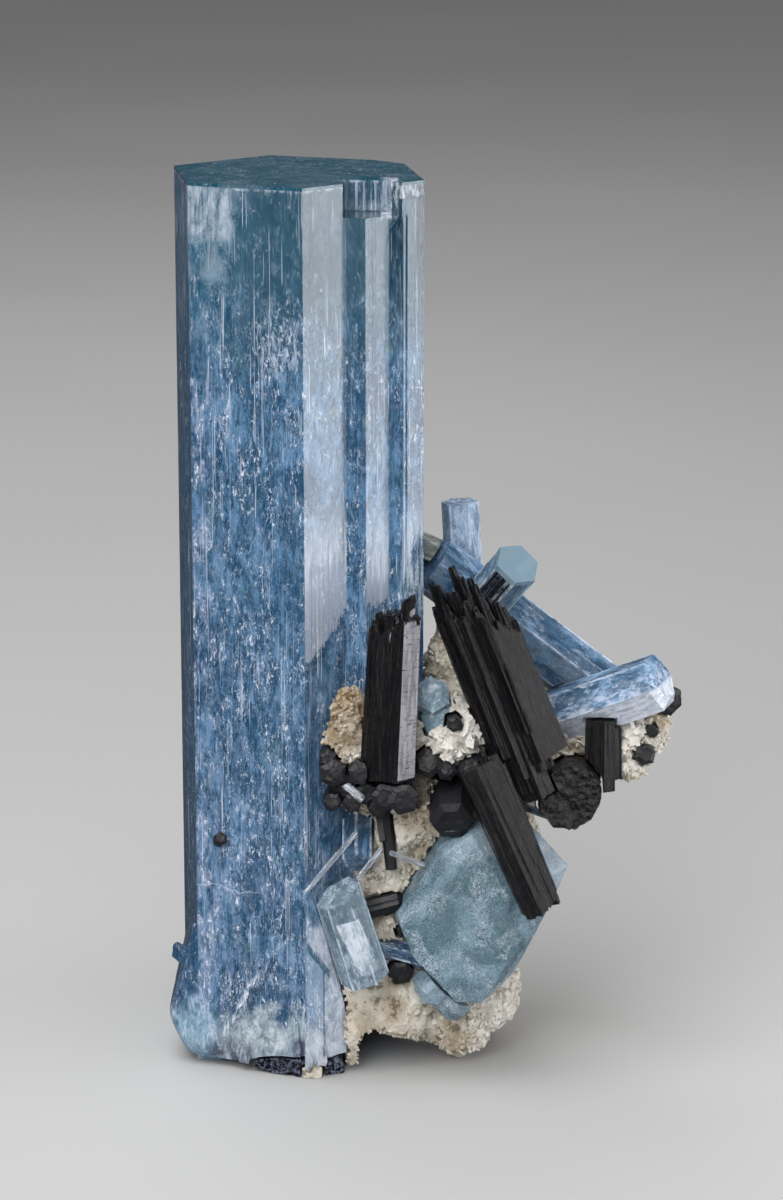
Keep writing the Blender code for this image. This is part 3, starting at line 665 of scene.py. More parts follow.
def main_beryl(colours):
    """The big crystal: clear teal at its top, flecked and veiled lower down, milky at its foot."""
    p = Paint("aquamarine")
    x, y, z = p.split(p.place())
    # the faces turned towards the side card, marked for a painted reflection
    painted_sheen = p.marked("painted_sheen")
    # noise: what is even in all directions drifts, what is long follows the crystal
    drift = p.spots(0.3, 4.0, 0.6) - 0.5
    haze = p.streaks(0.35, 0.9, 8.0, 0.84, 0.5)
    cloud = p.streaks(0.55, 0.16, 5.0, 0.62, 0.8).between(0.42, 0.60)
    clump = p.streaks(0.5, 0.5, 6.0, 0.76, 0.8).between(0.46, 0.59)
    grain = p.streaks(0.02, 2.6, 4.0, 0.65)
    fleck = p.streaks(0.4, 2.8, 5.0, 0.8, 0.6).between(0.55, 0.60)
    scratch = abs(p.streaks(0.16, 1.7, 4.0, 0.74, 0.8) - 0.5).between(0.012, 0.002)
    thread = p.streaks(0.008, 9.0, 1.0, 0.5).between(0.62, 0.68)
    thread = thread * p.streaks(0.1, 0.9, 1.0).between(0.53, 0.58)
    mist = p.streaks(0.8, 0.24, 5.0, 0.62, 0.5).between(0.44, 0.66)
    stain = p.streaks(0.7, 0.3, 2.0).between(0.64, 0.74)
    shade = p.streaks(0.6, 0.4, 4.0, 0.6, 0.6).between(0.56, 0.66)
    # places on the crystal, in millimetres
    clear_top = z.between(80.0, 101.0)
    cap = z.between(106.75, 107.0)
    below = 1.0 - cap
    front = y.between(-6.0, -8.0)
    foot = (z + drift * 14.0).between(9.0, 5.0)
    # painted shade: the left flank is darkened and its flecks thinned, for the side that turns away from the
    # light
    painted_shade_flank = x.between(-10.7, -11.2) * (1.0 - foot)
    side = x.between(-1.0, -8.5) * clear_top * below
    slant = z + x * 1.4
    block = (z + drift * 16.0).between(23.0, 18.0) * (x + drift).between(2.0, 2.7) * y.between(2.0, -2.0)
    strip = block * x.between(4.5, 4.2) * slant.between(20.6, 20.0) * z.between(5.0, 8.0)
    lines = abs(slant - 20.3).between(0.7, 0.4) * x.within(2.3, 2.5, 4.9, 5.2)
    lines = lines.largest(abs(x - 4.35).between(0.14, 0.06) * z.within(1.5, 3.0, 14.0, 14.5)) * block
    low = z.between(4.4, 2.4) * x.within(-10.4, -9.0, -5.0, -3.6) * front
    low = low.largest(z.within(1.6, 2.6, 4.4, 5.6) * x.within(0.2, 0.8, 1.8, 2.2))
    cluster = (z + drift * 8.0).within(84.0, 88.0, 92.0, 96.0) * y.between(-9.0, -11.0)
    cluster = cluster * (x + drift * 6.0).between(-4.0, -1.6) * x.between(2.6, 1.4)
    edge = z.within(106.5, 106.75, 106.9, 107.0) * haze.between(0.42, 0.62)
    chip = x.within(10.9, 11.3, 12.9, 13.4) * z.between(102.6, 103.4) * y.between(-4.0, -6.0)
    wave = x.between(12.4, 13.2) * (z + haze * 1.6 - 0.8).between(105.3, 105.7) * below * y.between(0.0, -2.0)
    wall = x.within(6.0, 6.6, 12.0, 12.4) * z.between(103.3, 103.6) * y.between(-5.7, -5.4) * below
    pane = x.within(-12.0, -10.8, -6.4, -5.0) * (z + drift * 6.0).between(99.4, 102.0)
    pane = pane * y.between(-4.0, -6.0) * below * (grain * 0.5 + haze * 1.5 - 0.5).between(0.2, 0.8)
    fracture = abs(z - drift * 3.0 + x * 0.06 - 22.3).between(0.12, 0.04) * x.between(-1.0, -5.0)
    crest = abs((x + 3.1) * 0.873 - (z - 12.6) * 0.487 + drift * 2.0).between(0.75, 0.1)
    crest = crest * z.within(1.6, 3.0, 11.6, 13.4) * front
    # painted reflection: lavender painted on those faces, from a ragged lower edge up to where the side
    # card's real reflection takes over
    bound = x.between(2.0, 8.0, 51.0, 57.6) + x.between(12.6, 15.6, 0.0, 7.5)
    sheen = painted_sheen * (z - bound + haze * 9.0 - 4.5).between(-0.3, 0.4) * z.between(72.0, 60.0)
    # what is white, and the colours under it
    thick = clump.largest(cluster * 0.95)
    veil = (fleck * (thick * 0.85 + 0.12)).largest(scratch * (thick * 0.5 + 0.2)) * (1.0 - clear_top * 0.6)
    veil = (veil * (1.0 - foot * 0.4) * (1.0 - painted_shade_flank * 0.5)).largest(cluster * haze.between(0.47, 0.6) * 0.4)
    white = veil * (1.0 - painted_sheen * 0.3)
    for part in (haze.between(0.5, 0.62) * clear_top * below * 0.22, thread * (0.6 - cap * 0.6),
                 mist * side * 0.25, edge * 0.5, chip * haze.between(0.38, 0.6, 0.15, 0.85),
                 wave * haze.between(0.42, 0.58, 0.1, 0.7), wall * (grain - 0.5).between(0.0, 0.12) * 0.5,
                 pane * 0.6, fracture * 0.35, crest * haze.between(0.46, 0.56) * 0.95, mist * cap * 0.08,
                 (block - strip) * haze.between(0.46, 0.6) * 0.6, foot * haze.between(0.47, 0.62) * 0.6):
        white = white.largest(part)
    white = white * (1.0 - low * 0.7)
    plum = (foot * shade * 0.5).largest(block * (z + drift * 4.0).between(3.4, 1.5) * 0.7)
    plum = plum.largest(low * (haze + drift * 0.6).between(0.66, 0.44) * 0.9)
    tone = cloud * 0.34 + haze.between(0.38, 0.62) * 0.66 + grain * 0.6 - 0.44 - painted_shade_flank * 0.3
    milky_foot = p.mix((x + drift * 3.0).between(-9.2, -7.4), colours.flare, colours.milky)
    paint = p.coats(colours.deep, (
        (tone.between(0.0, 1.0), colours.blue),
        (clear_top * 0.8, colours.teal),
        (z.between(72.0, 15.0) * haze.between(0.42, 0.66) * 0.26, colours.lilac),
        (x.between(-7.0, -10.5) * clump * 0.35 * (1.0 - clear_top), colours.lilac),
        (shade * 0.5 * (1.0 - foot), colours.teal),
        (stain * 0.4, colours.green),
        ((painted_shade_flank * 0.8).largest(wall * (1.0 - grain) * 0.7), colours.deep),
        (foot * haze.between(0.3, 0.6, 0.35, 0.95), milky_foot),
        (block * haze.between(0.35, 0.65, 0.55, 0.95), colours.lavender),
        (strip * haze.between(0.35, 0.6, 0.7, 0.3), colours.blue),
        (lines * 0.85, colours.teal),
        (plum, colours.plum),
        (cap * 0.95, colours.cap),
        (sheen * 0.8, colours.lavender),
        (white, colours.veil)))
    share = (tone * 0.15 + 0.66 - clear_top * 0.42 + side * 0.45 + white * 0.7 + foot * 0.25 + block * 0.25
             + cap * 0.5 + sheen * 0.4 + wall * 0.3).between(0.0, 1.0)
    ripple = p.bump(haze + grain * 0.8 + thread * 0.4 + (chip + wave) * haze * 4.0 + wall * grain * 2.0
                    + foot * haze * 3.0, 0.12, 0.10)
    surface = p.glass_and_milk(share, ripple, paint, fleck * 0.2 + foot * 0.3 + 0.07)
    return p.finish(surface, colours.absorb, 75.0)


def small_beryl(name, colours, milk=0.5, veils=0.6, pale=0.3, density=60.0, tint="blue", roughness=0.04,
                silver=0.0, window=None, panel=None, plain_end=None):
    """A smaller beryl: half clear, with patches, scratches and specks along it, and a painted highlight on
    its edges.

    Silver whitens its lower front side. A window is a painted reflection of a plane inside, bright between
    two widths and heights, in a darker frame. A panel is a painted reflection of dark surroundings on a face,
    with fine lines. From plain_end on, along its length, it is smooth and even.
    """
    p = Paint(name, attribute="crystal")
    # painted highlight: the rim mark whitens the edges
    rim = p.marked("rim")
    side, along = p.split(p.place(attribute="crystal"), "YZ")
    haze = p.streaks(0.4, 1.5, 7.0, 0.76, 0.6)
    cloud = p.streaks(0.45, 0.4, 4.0, 0.6, 0.7).between(0.42, 0.60)
    clump = p.streaks(0.5, 0.8, 5.0, 0.7, 0.8).between(0.46, 0.60)
    fleck = p.streaks(0.35, 3.4, 3.0, 0.75, 0.8).between(0.54, 0.62)
    scratch = abs(p.streaks(0.2, 1.6, 3.0, 0.7, 1.0) - 0.5).between(0.02, 0.004)
    fine = p.streaks(0.03, 5.0, 3.0, 0.6)
    white = (fleck * (clump * 0.7 + 0.15)).largest(scratch * (clump * 0.35 + 0.1))
    white = (white.largest(clump * haze * 0.55) * veils).largest(rim * haze.between(0.38, 0.58) * 0.7)
    if plain_end:
        calm = along.between(plain_end + 0.1, plain_end - 0.1)
        white, haze, cloud = white * calm, haze * calm + (1.0 - calm) * 0.55, cloud * calm + (1.0 - calm)
    if silver:
        white = white.largest(side.between(-0.3, 0.3) * haze.between(0.38, 0.6, 0.5, 1.0) * silver)
        white = white.largest((side + cloud).between(-2.6, 0.4) * haze.between(0.4, 0.6) * 0.6 * silver)
    body = p.mix((cloud * 0.45 + haze * 0.6 + pale - 0.35).between(0.0, 1.0), colours.deep,
                 getattr(colours, tint))
    # painted reflection: a bright plane inside, in a darker frame, growing brighter along its length
    if window:
        (left, right), (low, high) = window
        across = side + along * 0.12
        pane = across.within(left, left + 0.2, right - 0.2, right)
        pane = pane * along.within(low, low + 0.3, high - 0.2, high)
        frame = ((1.0 - pane) * across.within(left - 0.7, left - 0.5, right + 0.3, right + 0.5)
                 * along.within(low - 0.9, low - 0.6, high + 0.5, high + 0.7))
        glint = (along - across * 0.8 + haze * 3.0).between(low + 1.2, low + 6.0, 0.3, 1.0)
        white = white.largest(pane * haze.between(0.35, 0.6, 0.35, 0.9) * glint)
        body = p.mix(frame * haze.between(0.6, 0.4) * 0.8, body, colours.deep)
    # painted reflection: a dark face, the reflection of dark surroundings, with fine pale lines
    if panel:
        (left, right), (low, high) = panel
        dark = (side.within(left, left + 0.15, right - 0.15, right) * along.between(high, high - 0.1)
                * (along + haze * 3.0).between(low + 1.4, low + 1.8))
        body = p.mix(dark * 0.95, body, colours.schorl)
        line = abs(p.streaks(0.01, 1.6, 1.0) - 0.5).between(0.03, 0.01)
        white = (white * (1.0 - dark)).largest(dark * line * haze.between(0.4, 0.6) * 0.6)
        milk = dark * 0.5 + milk
    share = (white * 0.8 + milk + cloud * 0.12).between(0.0, 1.0)
    ripple = p.bump(fine + haze * 0.5, 0.12, 0.08)
    surface = p.glass_and_milk(share, ripple, p.mix(white, body, colours.veil), fleck * 0.2 + 0.1,
                               glass_roughness=roughness)
    return p.finish(surface, colours.absorb, density)


def fluorite_skin(colours):
    """Fluorite: blue green and half clear, with feathers that spread from its middle and frosted patches.

    The feathers are noise in turns round the middle: narrow across a ray, long along it.
    """
    p = Paint("fluorite")
    x, y, z = p.split(p.place())
    bend = p.spots(0.35, 3.0, 0.6) - 0.5
    right, up = x - 21.6, z - 20.5
    reach = (right * right + up * up).root()
    spread = p.node("CombineXYZ", inputs={0: up.turn(right) * 7.0 + bend * 6.0, 1: y * 0.5,
                                          2: reach * 0.35 + bend * 2.0})
    feather = p.noise(spread, 3.2, 5.0, 0.78, 0.7).between(0.51, 0.61)
    cloud = p.spots(0.18, 3.0, 0.55, 0.8).between(0.38, 0.62)
    etch = p.streaks(0.7, 1.3, 4.0, 0.68, 1.2)
    curl = abs(p.spots(2.4, 4.0, 0.72, 1.4) - 0.5).between(0.028, 0.006)
    nick = abs(p.spots(1.7, 4.0, 0.72, 1.2) - 0.5).between(0.016, 0.005)
    frost = p.spots(4.5, 4.0, 0.7).between(0.55, 0.66)
    patch = p.spots(0.28, 3.0, 0.6, 0.6).between(0.48, 0.64)
    pale = (reach + bend * 6.0).between(7.0, 10.0)
    pale = pale * x.between(18.0, 26.0).largest(z.between(14.5, 12.5) * 0.4)
    bright = (feather * (patch * 0.35 + 0.2)).largest(curl * (patch * 0.65 + 0.4))
    bright = bright.largest(frost * patch * 0.4)
    paint = p.coats(colours.fluorite, (
        (cloud * 0.75, colours.fluorite_pale),
        (pale * 0.6, colours.lavender),
        (bright, colours.veil),
        (nick * (patch * 0.55 + 0.4), colours.teal)))
    share = (cloud * 0.12 + bright * 0.5 + pale * 0.2 + 0.48).between(0.0, 1.0)
    relief = p.bump(etch + feather * 0.5 + frost * 0.1, 0.35, 0.2)
    surface = p.glass_and_milk(share, relief, paint, frost * 0.2 + 0.16, 1.434, 0.12)
    return p.finish(surface, colours.fluorite_absorb, 60.0)


def needle_glass(colours):
    """Colourless needles with a few white threads along them."""
    p = Paint("needle_quartz", attribute="crystal")
    thread = p.streaks(0.1, 3.0, 3.0, 0.6).between(0.5, 0.68)
    ripple = p.bump(thread, 0.2, 0.05)
    clear = p.shader(Base_Color=WHITE, Roughness=0.03, IOR=1.545, Transmission_Weight=1.0, Normal=ripple)
    milky = p.shader(Base_Color=p.mix(thread, colours.needle, colours.veil), Roughness=0.2, Normal=ripple)
    surface = p.node("MixShader", inputs={0: thread * 0.5 + 0.2, 1: clear, 2: milky})
    return p.finish(surface, colours.quartz_absorb, 30.0)


def schorl_skin(name, colours, fibrous=True, painted_vein_sheen=0.0):
    """Schorl: black, with brown fibres along it, a gloss that the fibres break up, and smoother faces with a
    painted sheen.

    The marked faces are smoother, and a paler grey is painted on them as a reflection, which short cracks
    cross.
    """
    p = Paint(name, attribute="crystal" if fibrous else None)
    along, scale = (0.06, 4.5) if fibrous else (1.0, 2.2)
    fibre = p.streaks(along, scale, 6.0, 0.74)
    patch = p.spots(0.35, 3.0, 0.6, 0.5).between(0.42, 0.66)
    dust = p.spots(6.0, 3.0, 0.7).between(0.60, 0.74)
    crack = abs(p.streaks(1.5, 0.8, 3.0, 0.5, 0.3, across=0.25) - 0.5).between(0.010, 0.003)
    grain = p.streaks(0.1, 1.6, 4.0, 0.7).between(0.36, 0.56, 0.55, 1.0)
    # painted sheen: a paler grey painted on the marked faces, broken up by cracks and a grain
    painted_sheen = (p.marked("painted_sheen") + fibre * 0.5 - 0.25).between(0.3, 0.55) * (1.0 - crack * 0.8) * grain
    paint = p.coats(colours.schorl, (
        (fibre.between(0.48, 0.72) * (1.0 - painted_sheen), colours.schorl_brown),
        (dust * patch * 0.3, colours.dust),
        # painted sheen: lilac painted along the fibres, for the sheen of the schorl under the foot
        (fibre.between(0.46, 0.62) * painted_vein_sheen, colours.lilac),
        (painted_sheen * 0.85, colours.schorl_painted_reflection)))
    rough = fibre.between(0.42, 0.64, 0.05, 0.32) + patch * 0.08 + dust * 0.15 + painted_sheen * 0.1
    relief = p.bump((fibre + dust * 0.3) * (1.0 - painted_sheen * 0.8), 0.7, 0.2)
    return p.finish(p.shader(Base_Color=paint, Roughness=rough, IOR=1.65, Specular_IOR_Level=0.28,
                             Normal=relief))


def feldspar_skin(colours):
    """Feldspar: cream and white sugar, stained brown in its hollows, with a few dark spots painted as the
    shade of small pits.
    """
    p = Paint("feldspar")
    x, z = p.split(p.place(), "XZ")
    hollow, clean = p.marked("hollow"), p.marked("clean")
    sugar = p.spots(2.8, 5.0, 0.78)
    spot = p.spots(0.5, 4.0, 0.65, 0.4).between(0.46, 0.62)
    # painted shade: dark spots for the shade inside small pits
    pit_shade = p.spots(1.7, 2.0, 0.6).between(0.68, 0.73)
    fresh = (p.spots(0.17, 4.0, 0.6, 0.6).between(0.40, 0.62) * 0.6 + clean).between(0.0, 1.0)
    freckle = p.spots(0.65, 5.0, 0.76, 0.5).between(0.53, 0.57) * spot.between(0.0, 0.5, 0.35, 1.0)
    smudge = p.spots(0.4, 4.0, 0.66).between(0.60, 0.70)
    tuft = x.between(11.0, 9.4) * z.between(36.0, 38.0)
    paint = p.coats(colours.cream, (
        ((fresh * 0.8 + sugar * 0.5 - 0.2).between(0.0, 1.0), colours.white),
        ((hollow * 0.55 + spot * 0.18 + tuft * 0.5) * (1.0 - fresh * 0.6), colours.stain),
        ((freckle * 0.8).largest(smudge * 0.4) * (1.0 - clean), colours.freckle),
        (pit_shade * (0.85 - clean * 0.6), colours.pit_shade)))
    cells = p.node("TexVoronoi", {"feature": "F1"}, {"Vector": p.place(), "Scale": 2.0}, "Distance")
    relief = p.bump(sugar + cells * 0.5, 0.65, 0.4)
    return p.finish(p.shader(Base_Color=paint, Roughness=sugar * 0.3 + 0.5, IOR=1.52, Normal=relief))


def flake_skin(colours):
    """Flakes inside the big crystal: white, with a painted glow: they give out a little light of their own.
    """
    p = Paint("inner_flake")
    paint = p.mix(p.spots(0.8, 2.0), colours.veil, colours.flake)
    # painted glow: the flakes' paint is also given out as light
    return p.finish(p.shader(Base_Color=paint, Roughness=0.4, Emission_Color=paint, Emission_Strength=0.35))


def floor_paint(colours):
    """Grey paper with a slow change of tone."""
    p = Paint("floor_paper")
    paint = p.mix(p.spots(0.004, 2.0, 0.5) * 0.3, colours.floor, colours.floor_worn)
    return p.finish(p.shader(Base_Color=paint, Roughness=0.9))


# ---------------------------------------------------------------- settings


def colour(name, description, value):
    return FloatVectorProperty(name=name, description=description, default=value, size=3, min=0.0, max=1.0,
                               subtype="COLOR")


def length(name, description, default, least=0.0):
    return FloatProperty(name=name, description=description, default=default, min=least, subtype="DISTANCE",
                         unit="LENGTH")


def number(name, description, default, least=0.0, kind=FloatProperty, **more):
    return kind(name=name, description=description, default=default, min=least, **more)


class SpecimenSizes(bpy.types.PropertyGroup):
    step: length("Fine step", "Width of a face round the big crystal", 0.14 * MM, 0.05 * MM)
    stria: length("Stria depth", "Depth of the steps along the crystals", 0.07 * MM)
    voxel: length("Feldspar fineness", "Size of a face of the feldspar", 0.42 * MM, 0.2 * MM)
    grains: number("Grains", "Sugar grains grown on the feldspar", 12000, 0, IntProperty, max=16000)
    flakes: number("Flakes", "White flakes inside the big crystal", 4200, 0, IntProperty, max=12000)


class SpecimenColours(bpy.types.PropertyGroup):
    deep: colour("Deep blue", "Aquamarine where it is clean", (0.014, 0.080, 0.172))
    blue: colour("Blue", "Aquamarine where it is veiled", (0.15, 0.30, 0.50))
    teal: colour("Teal", "Aquamarine at its clear top", (0.018, 0.105, 0.16))
    # Lilac also gives the painted sheen on the fibres of the schorl under the foot.
    lilac: colour("Lilac", "Aquamarine where its veils are thick", (0.42, 0.48, 0.72))
    # Lavender is also laid on the front faces of the big crystal as a painted reflection.
    lavender: colour("Lavender", "Aquamarine of the block at the right of the foot", (0.46, 0.52, 0.62))
    milky: colour("Milky", "Aquamarine at its foot", (0.40, 0.49, 0.52))
    flare: colour("Flare", "Aquamarine where its foot spreads at the left", (0.23, 0.39, 0.50))
    plum: colour("Plum", "Dark patches low on the big aquamarine", (0.07, 0.08, 0.15))
    cap: colour("Cap", "The flat top of the big aquamarine", (0.004, 0.075, 0.125))
    ice: colour("Ice", "Pale aquamarine of the small crystals", (0.33, 0.48, 0.58))
    sky: colour("Sky", "Pale blue of the upright aquamarine", (0.38, 0.54, 0.74))
    veil: colour("Veil", "Flecks and feathers inside the crystals", (0.78, 0.82, 0.92))
    absorb: colour("Absorption", "Light that a clear aquamarine lets through", (0.06, 0.59, 0.81))
    yellow: colour("Pale beryl", "The yellowish beryl behind", (0.42, 0.44, 0.34))
    green: colour("Green beryl", "The greenish stub at the right", (0.20, 0.34, 0.34))
    fluorite: colour("Fluorite", "Fluorite where it is clean", (0.10, 0.22, 0.27))
    fluorite_pale: colour("Frosted fluorite", "Fluorite where it is frosted", (0.25, 0.40, 0.50))
    fluorite_absorb: colour("Fluorite absorption", "Light that fluorite lets through", (0.33, 0.70, 0.80))
    needle: colour("Needle", "The milky threads of the needles", (0.55, 0.62, 0.70))
    schorl: colour("Schorl", "Schorl", (0.006, 0.006, 0.008))
    schorl_brown: colour("Schorl fibre", "The brown fibres of schorl", (0.030, 0.024, 0.020))
    # painted reflection: the paler grey painted on the marked schorl faces
    schorl_painted_reflection: colour("Schorl sheen", "The smooth grey faces of schorl", (0.42, 0.41, 0.46))
    dust: colour("Dust", "Feldspar dust on schorl", (0.20, 0.17, 0.14))
    cream: colour("Cream", "Feldspar", (0.86, 0.80, 0.68))
    white: colour("White", "Clean feldspar", (0.96, 0.93, 0.87))
    stain: colour("Stain", "Brown stain in the hollows", (0.38, 0.27, 0.15))
    freckle: colour("Freckle", "Brown freckles of the feldspar", (0.17, 0.125, 0.075))
    # Painted shade: the dark of small pits.
    pit_shade: colour("Pit", "Dark pits", (0.07, 0.055, 0.045))
    quartz_absorb: colour("Needle absorption", "Light that the needles let through", (0.75, 0.90, 1.0))
    # Flake is also the colour of the flakes' painted glow.
    flake: colour("Flake", "The whitest flakes inside the big aquamarine", (0.90, 0.92, 0.96))
    floor: colour("Floor", "Floor", (0.42, 0.42, 0.42))
    floor_worn: colour("Pale floor", "Floor where it is palest", (0.72, 0.72, 0.72))


class SpecimenLight(bpy.types.PropertyGroup):
    distance: length("Camera distance", "From the camera to the middle of the specimen", 0.45, 0.1)
    pitch: number("Camera pitch", "How far the camera looks down", math.radians(14.5), subtype="ANGLE",
                  unit="ROTATION")
    lens: number("Focal length", "In millimetres", 112.5, 20.0)
    card: number("Side card", "Power of the soft card at the right", 0.085, unit="POWER")
    top: number("Top light", "Power of the large light above", 3.4, unit="POWER")
    front: number("Front light", "Power of the light beside the camera", 2.7, unit="POWER")
    back: number("Back light", "Power of the light behind", 1.3, unit="POWER")
    sky: number("Surroundings", "Brightness of the grey overhead", 0.5)
    horizon: number("Horizon", "Brightness of the grey at the horizon", 0.07)


def sizes():
    return bpy.context.scene.specimen_sizes


def colours():
    return bpy.context.scene.specimen_colours


# ---------------------------------------------------------------- the big crystal


def walk(start, legs):
    """Corners reached from a start by legs, each a direction in degrees and a length."""
    corners = [np.array(start, float)]
    for degrees, length in legs:
        corners.append(corners[-1] + polar(length, degrees))
    return corners


def main_section():
    """Two parallel prisms in plan: a hexagon whose right half steps out in three columns."""
    pale, deep, right = MAIN_TURN + 120, MAIN_TURN + 60, MAIN_TURN + 180
    stepped = walk(polar(MAIN_RADIUS, MAIN_TURN), [(pale, 6.3), (deep, 2.4), (pale, 3.5), (deep, 1.6),
                                                   (pale, 3.3), (right, 13.9)])
    left_side = [polar(MAIN_RADIUS, MAIN_TURN + turn) for turn in (180, 240, 300)]
    return np.array(stepped + [np.array([10.1, 9.9])] + left_side)


MAIN_GROWTHS = {
    "flare": [(-12.8, 3, 15), (-11, -7.6, 18.5), (-8.2, -9.8, 14), (-15.1, -6.5, 5),
              (-14.6, -2, 5.4), (-14, -8.5, 4.7), (-13.7, -7, 2.2), (-12.6, -9.3, 1.6),
              (-10.4, -10.5, 2.4), (-7, -10.9, 7), (-6.2, -11, 2), (-12, -8.8, 0.4),
              (-8, -10.2, 0.4), (-12.8, -1, 0.5), (-9, -4, 0.5), (-9, 0, 8)],
    "shard": [(-14.4, -5, 12.2), (-14.2, -5, 13.7), (-13.6, -5.4, 14.3), (-12.4, -5.2, 13.5),
              (-12.4, -6.2, 11), (-12, -3, 11.5)],
    "crust": [(-6.8, -11, 1.5), (-5.8, -11.5, 5), (-3.4, -12.4, 8.4), (0.6, -13.9, 8.8),
              (1.9, -14.5, 5.5), (1.7, -14.5, 0.4), (-4.5, -12.2, 0.4), (-6, -9, 0),
              (0, -10, 1), (0, -11, 7)],
    "crest": [(-1.6, -12.6, 14.6), (-3.1, -12.4, 12.4), (-5.4, -11.5, 8.4), (-7.9, -10.5, 4),
              (-3.95, -11.5, 12.9), (-2.25, -12.2, 11.9), (-8.7, -9.8, 4.5), (-7.05, -10.4, 3.5),
              (-3, -10, 12), (-6, -8.5, 4)],
    "terrace": [(2.3, -14.7, 27.5), (3.5, -14.6, 22), (5.2, -13.9, 14), (7, -13.2, 8.4),
                (7.1, -12.9, 1.2), (2, -15.1, 1.2), (2, -15, 12), (3, -11, 24),
                (3, -9, 1.2), (7, -9, 7)],
    "wedge": [(2.2, -15.1, 14.2), (4.1, -14.5, 10), (4.9, -14.2, 1.6), (2.1, -15.2, 1.4),
              (2, -15.2, 9), (3, -11, 12), (3, -10, 1.4)],
    "rear": [(-3, 15.2, 1), (3, 14, 1), (2, 13.6, 10), (-4, 14.4, 8),
             (-7, 11, 0.5), (4, 8, 0.5), (-2, 9, 12)],
}


def front_arch(left):
    """The hollow broken out under the front edge of the foot."""
    near, far = -20, 3
    crown = [(8.9, 8), (10.3, 8.6), (17.4, 7.2)]
    return faceted([(x, near, z) for x, z in crown] + [(x, far, z - 8.9) for x, z in crown]
                   + [(left, near, 6.2), (left, near, -2), (left, far, -2), (20.3, near, 5),
                      (20.3, near, -2), (20.3, far, -3.8)], 60, 120, 300).surface


def main_trims():
    """The corner between the prisms, where the front columns end short of the top, and the broken foot."""
    notch = upright([(7, -12.5), (12.6, -12.5), (12.1, -5.1), (6.4, -4.3)], 103.4, HEIGHT + 5)
    rim = upright([(-16, -20), (8, -20), (8, -11.6), (-2, -9.4), (-16, -6.5)], -5, 1)
    step = upright([(7.2, -10.4), (5.2, -2), (3.4, 6), (4.6, 16), (22, 16), (22, -16),
                    (9.2, -16)], 107, HEIGHT + 5)
    return [notch, step, rim, front_arch(7)]


class SPECIMEN_OT_underside(bpy.types.Operator):
    """Feldspar crumb and schorl that the front edge of the big crystal sits on"""

    bl_idname = "specimen.underside"
    bl_label = "Underside"

    def execute(self, context):
        crumb = faceted([(1.8, -14.2, 0), (4, -13.9, 0), (4.1, -13.8, 1.4), (2.9, -14.4, 1.9),
                         (1.7, -14.1, 1.3), (2, -11.6, 0), (3.8, -11.8, 0), (3.2, -11.8, 1.5)],
                        50, 90, 30, 0.08, 0.6, 0.08)
        Specimen.grow("underside_crumb", "feldspar_crumb", [crumb], feldspar_skin(colours()), "feldspar")
        schorl = faceted([(-4.6, -11.6, 0.5), (-4.2, -12, 1.6), (-1, -13.2, 2.2), (2.4, -14.3, 2.4),
                          (6.6, -13, 2.6), (6.8, -12.4, 0), (2.4, -14, 0), (-2, -12.6, 0),
                          (-3, -7, 0), (-3, -7, 1.4), (6.4, -7.5, 0), (6.2, -7.5, 2)],
                         60, 140, 30, 0.1, 0.7, 0.12)
        # its fibres carry a lilac painted sheen
        Specimen.grow("underside_schorl", "schorl_under_foot", [schorl],
                      schorl_skin("schorl_vein_sheen", colours(), False, 0.4), "schorl")
        return {"FINISHED"}


class SPECIMEN_OT_main_crystal(bpy.types.Operator):
    """The big aquamarine: two parallel prisms with a flared, crusted foot"""

    bl_idname = "specimen.main_crystal"
    bl_label = "Big crystal"

    def execute(self, context):
        body = prism((0, 0, 0), (0, 0, HEIGHT), main_section(), 90, row=1.06, width=0.8,
                     relief=0.05, caps=8, seed=11, step=sizes().step / MM, depth=sizes().stria / MM)
        rough = {"flare": (12, 0.06, 1.6, 0.03), "crust": (12, 0.22, 1.2, 0.3),
                 "crest": (16, 0.1, 0.8, 0.2), "terrace": (30, 0.1, 1.6, 0.1),
                 "wedge": (20, 0.12, 1.2, 0.16)}
        growths = [faceted(corners, 64, 110, *rough.get(name, (40, 0.08, 1.6, 0.06)), seed=20 + k)
                   for k, (name, corners) in enumerate(MAIN_GROWTHS.items())]
        # the front faces are marked for the painted reflection
        painted_sheen(Specimen.grow("main_crystal", "main_aquamarine", [body] + growths, main_beryl(colours()),
                             "aquamarine", main_trims(), sharp=14), FACE_WAY)
        return {"FINISHED"}


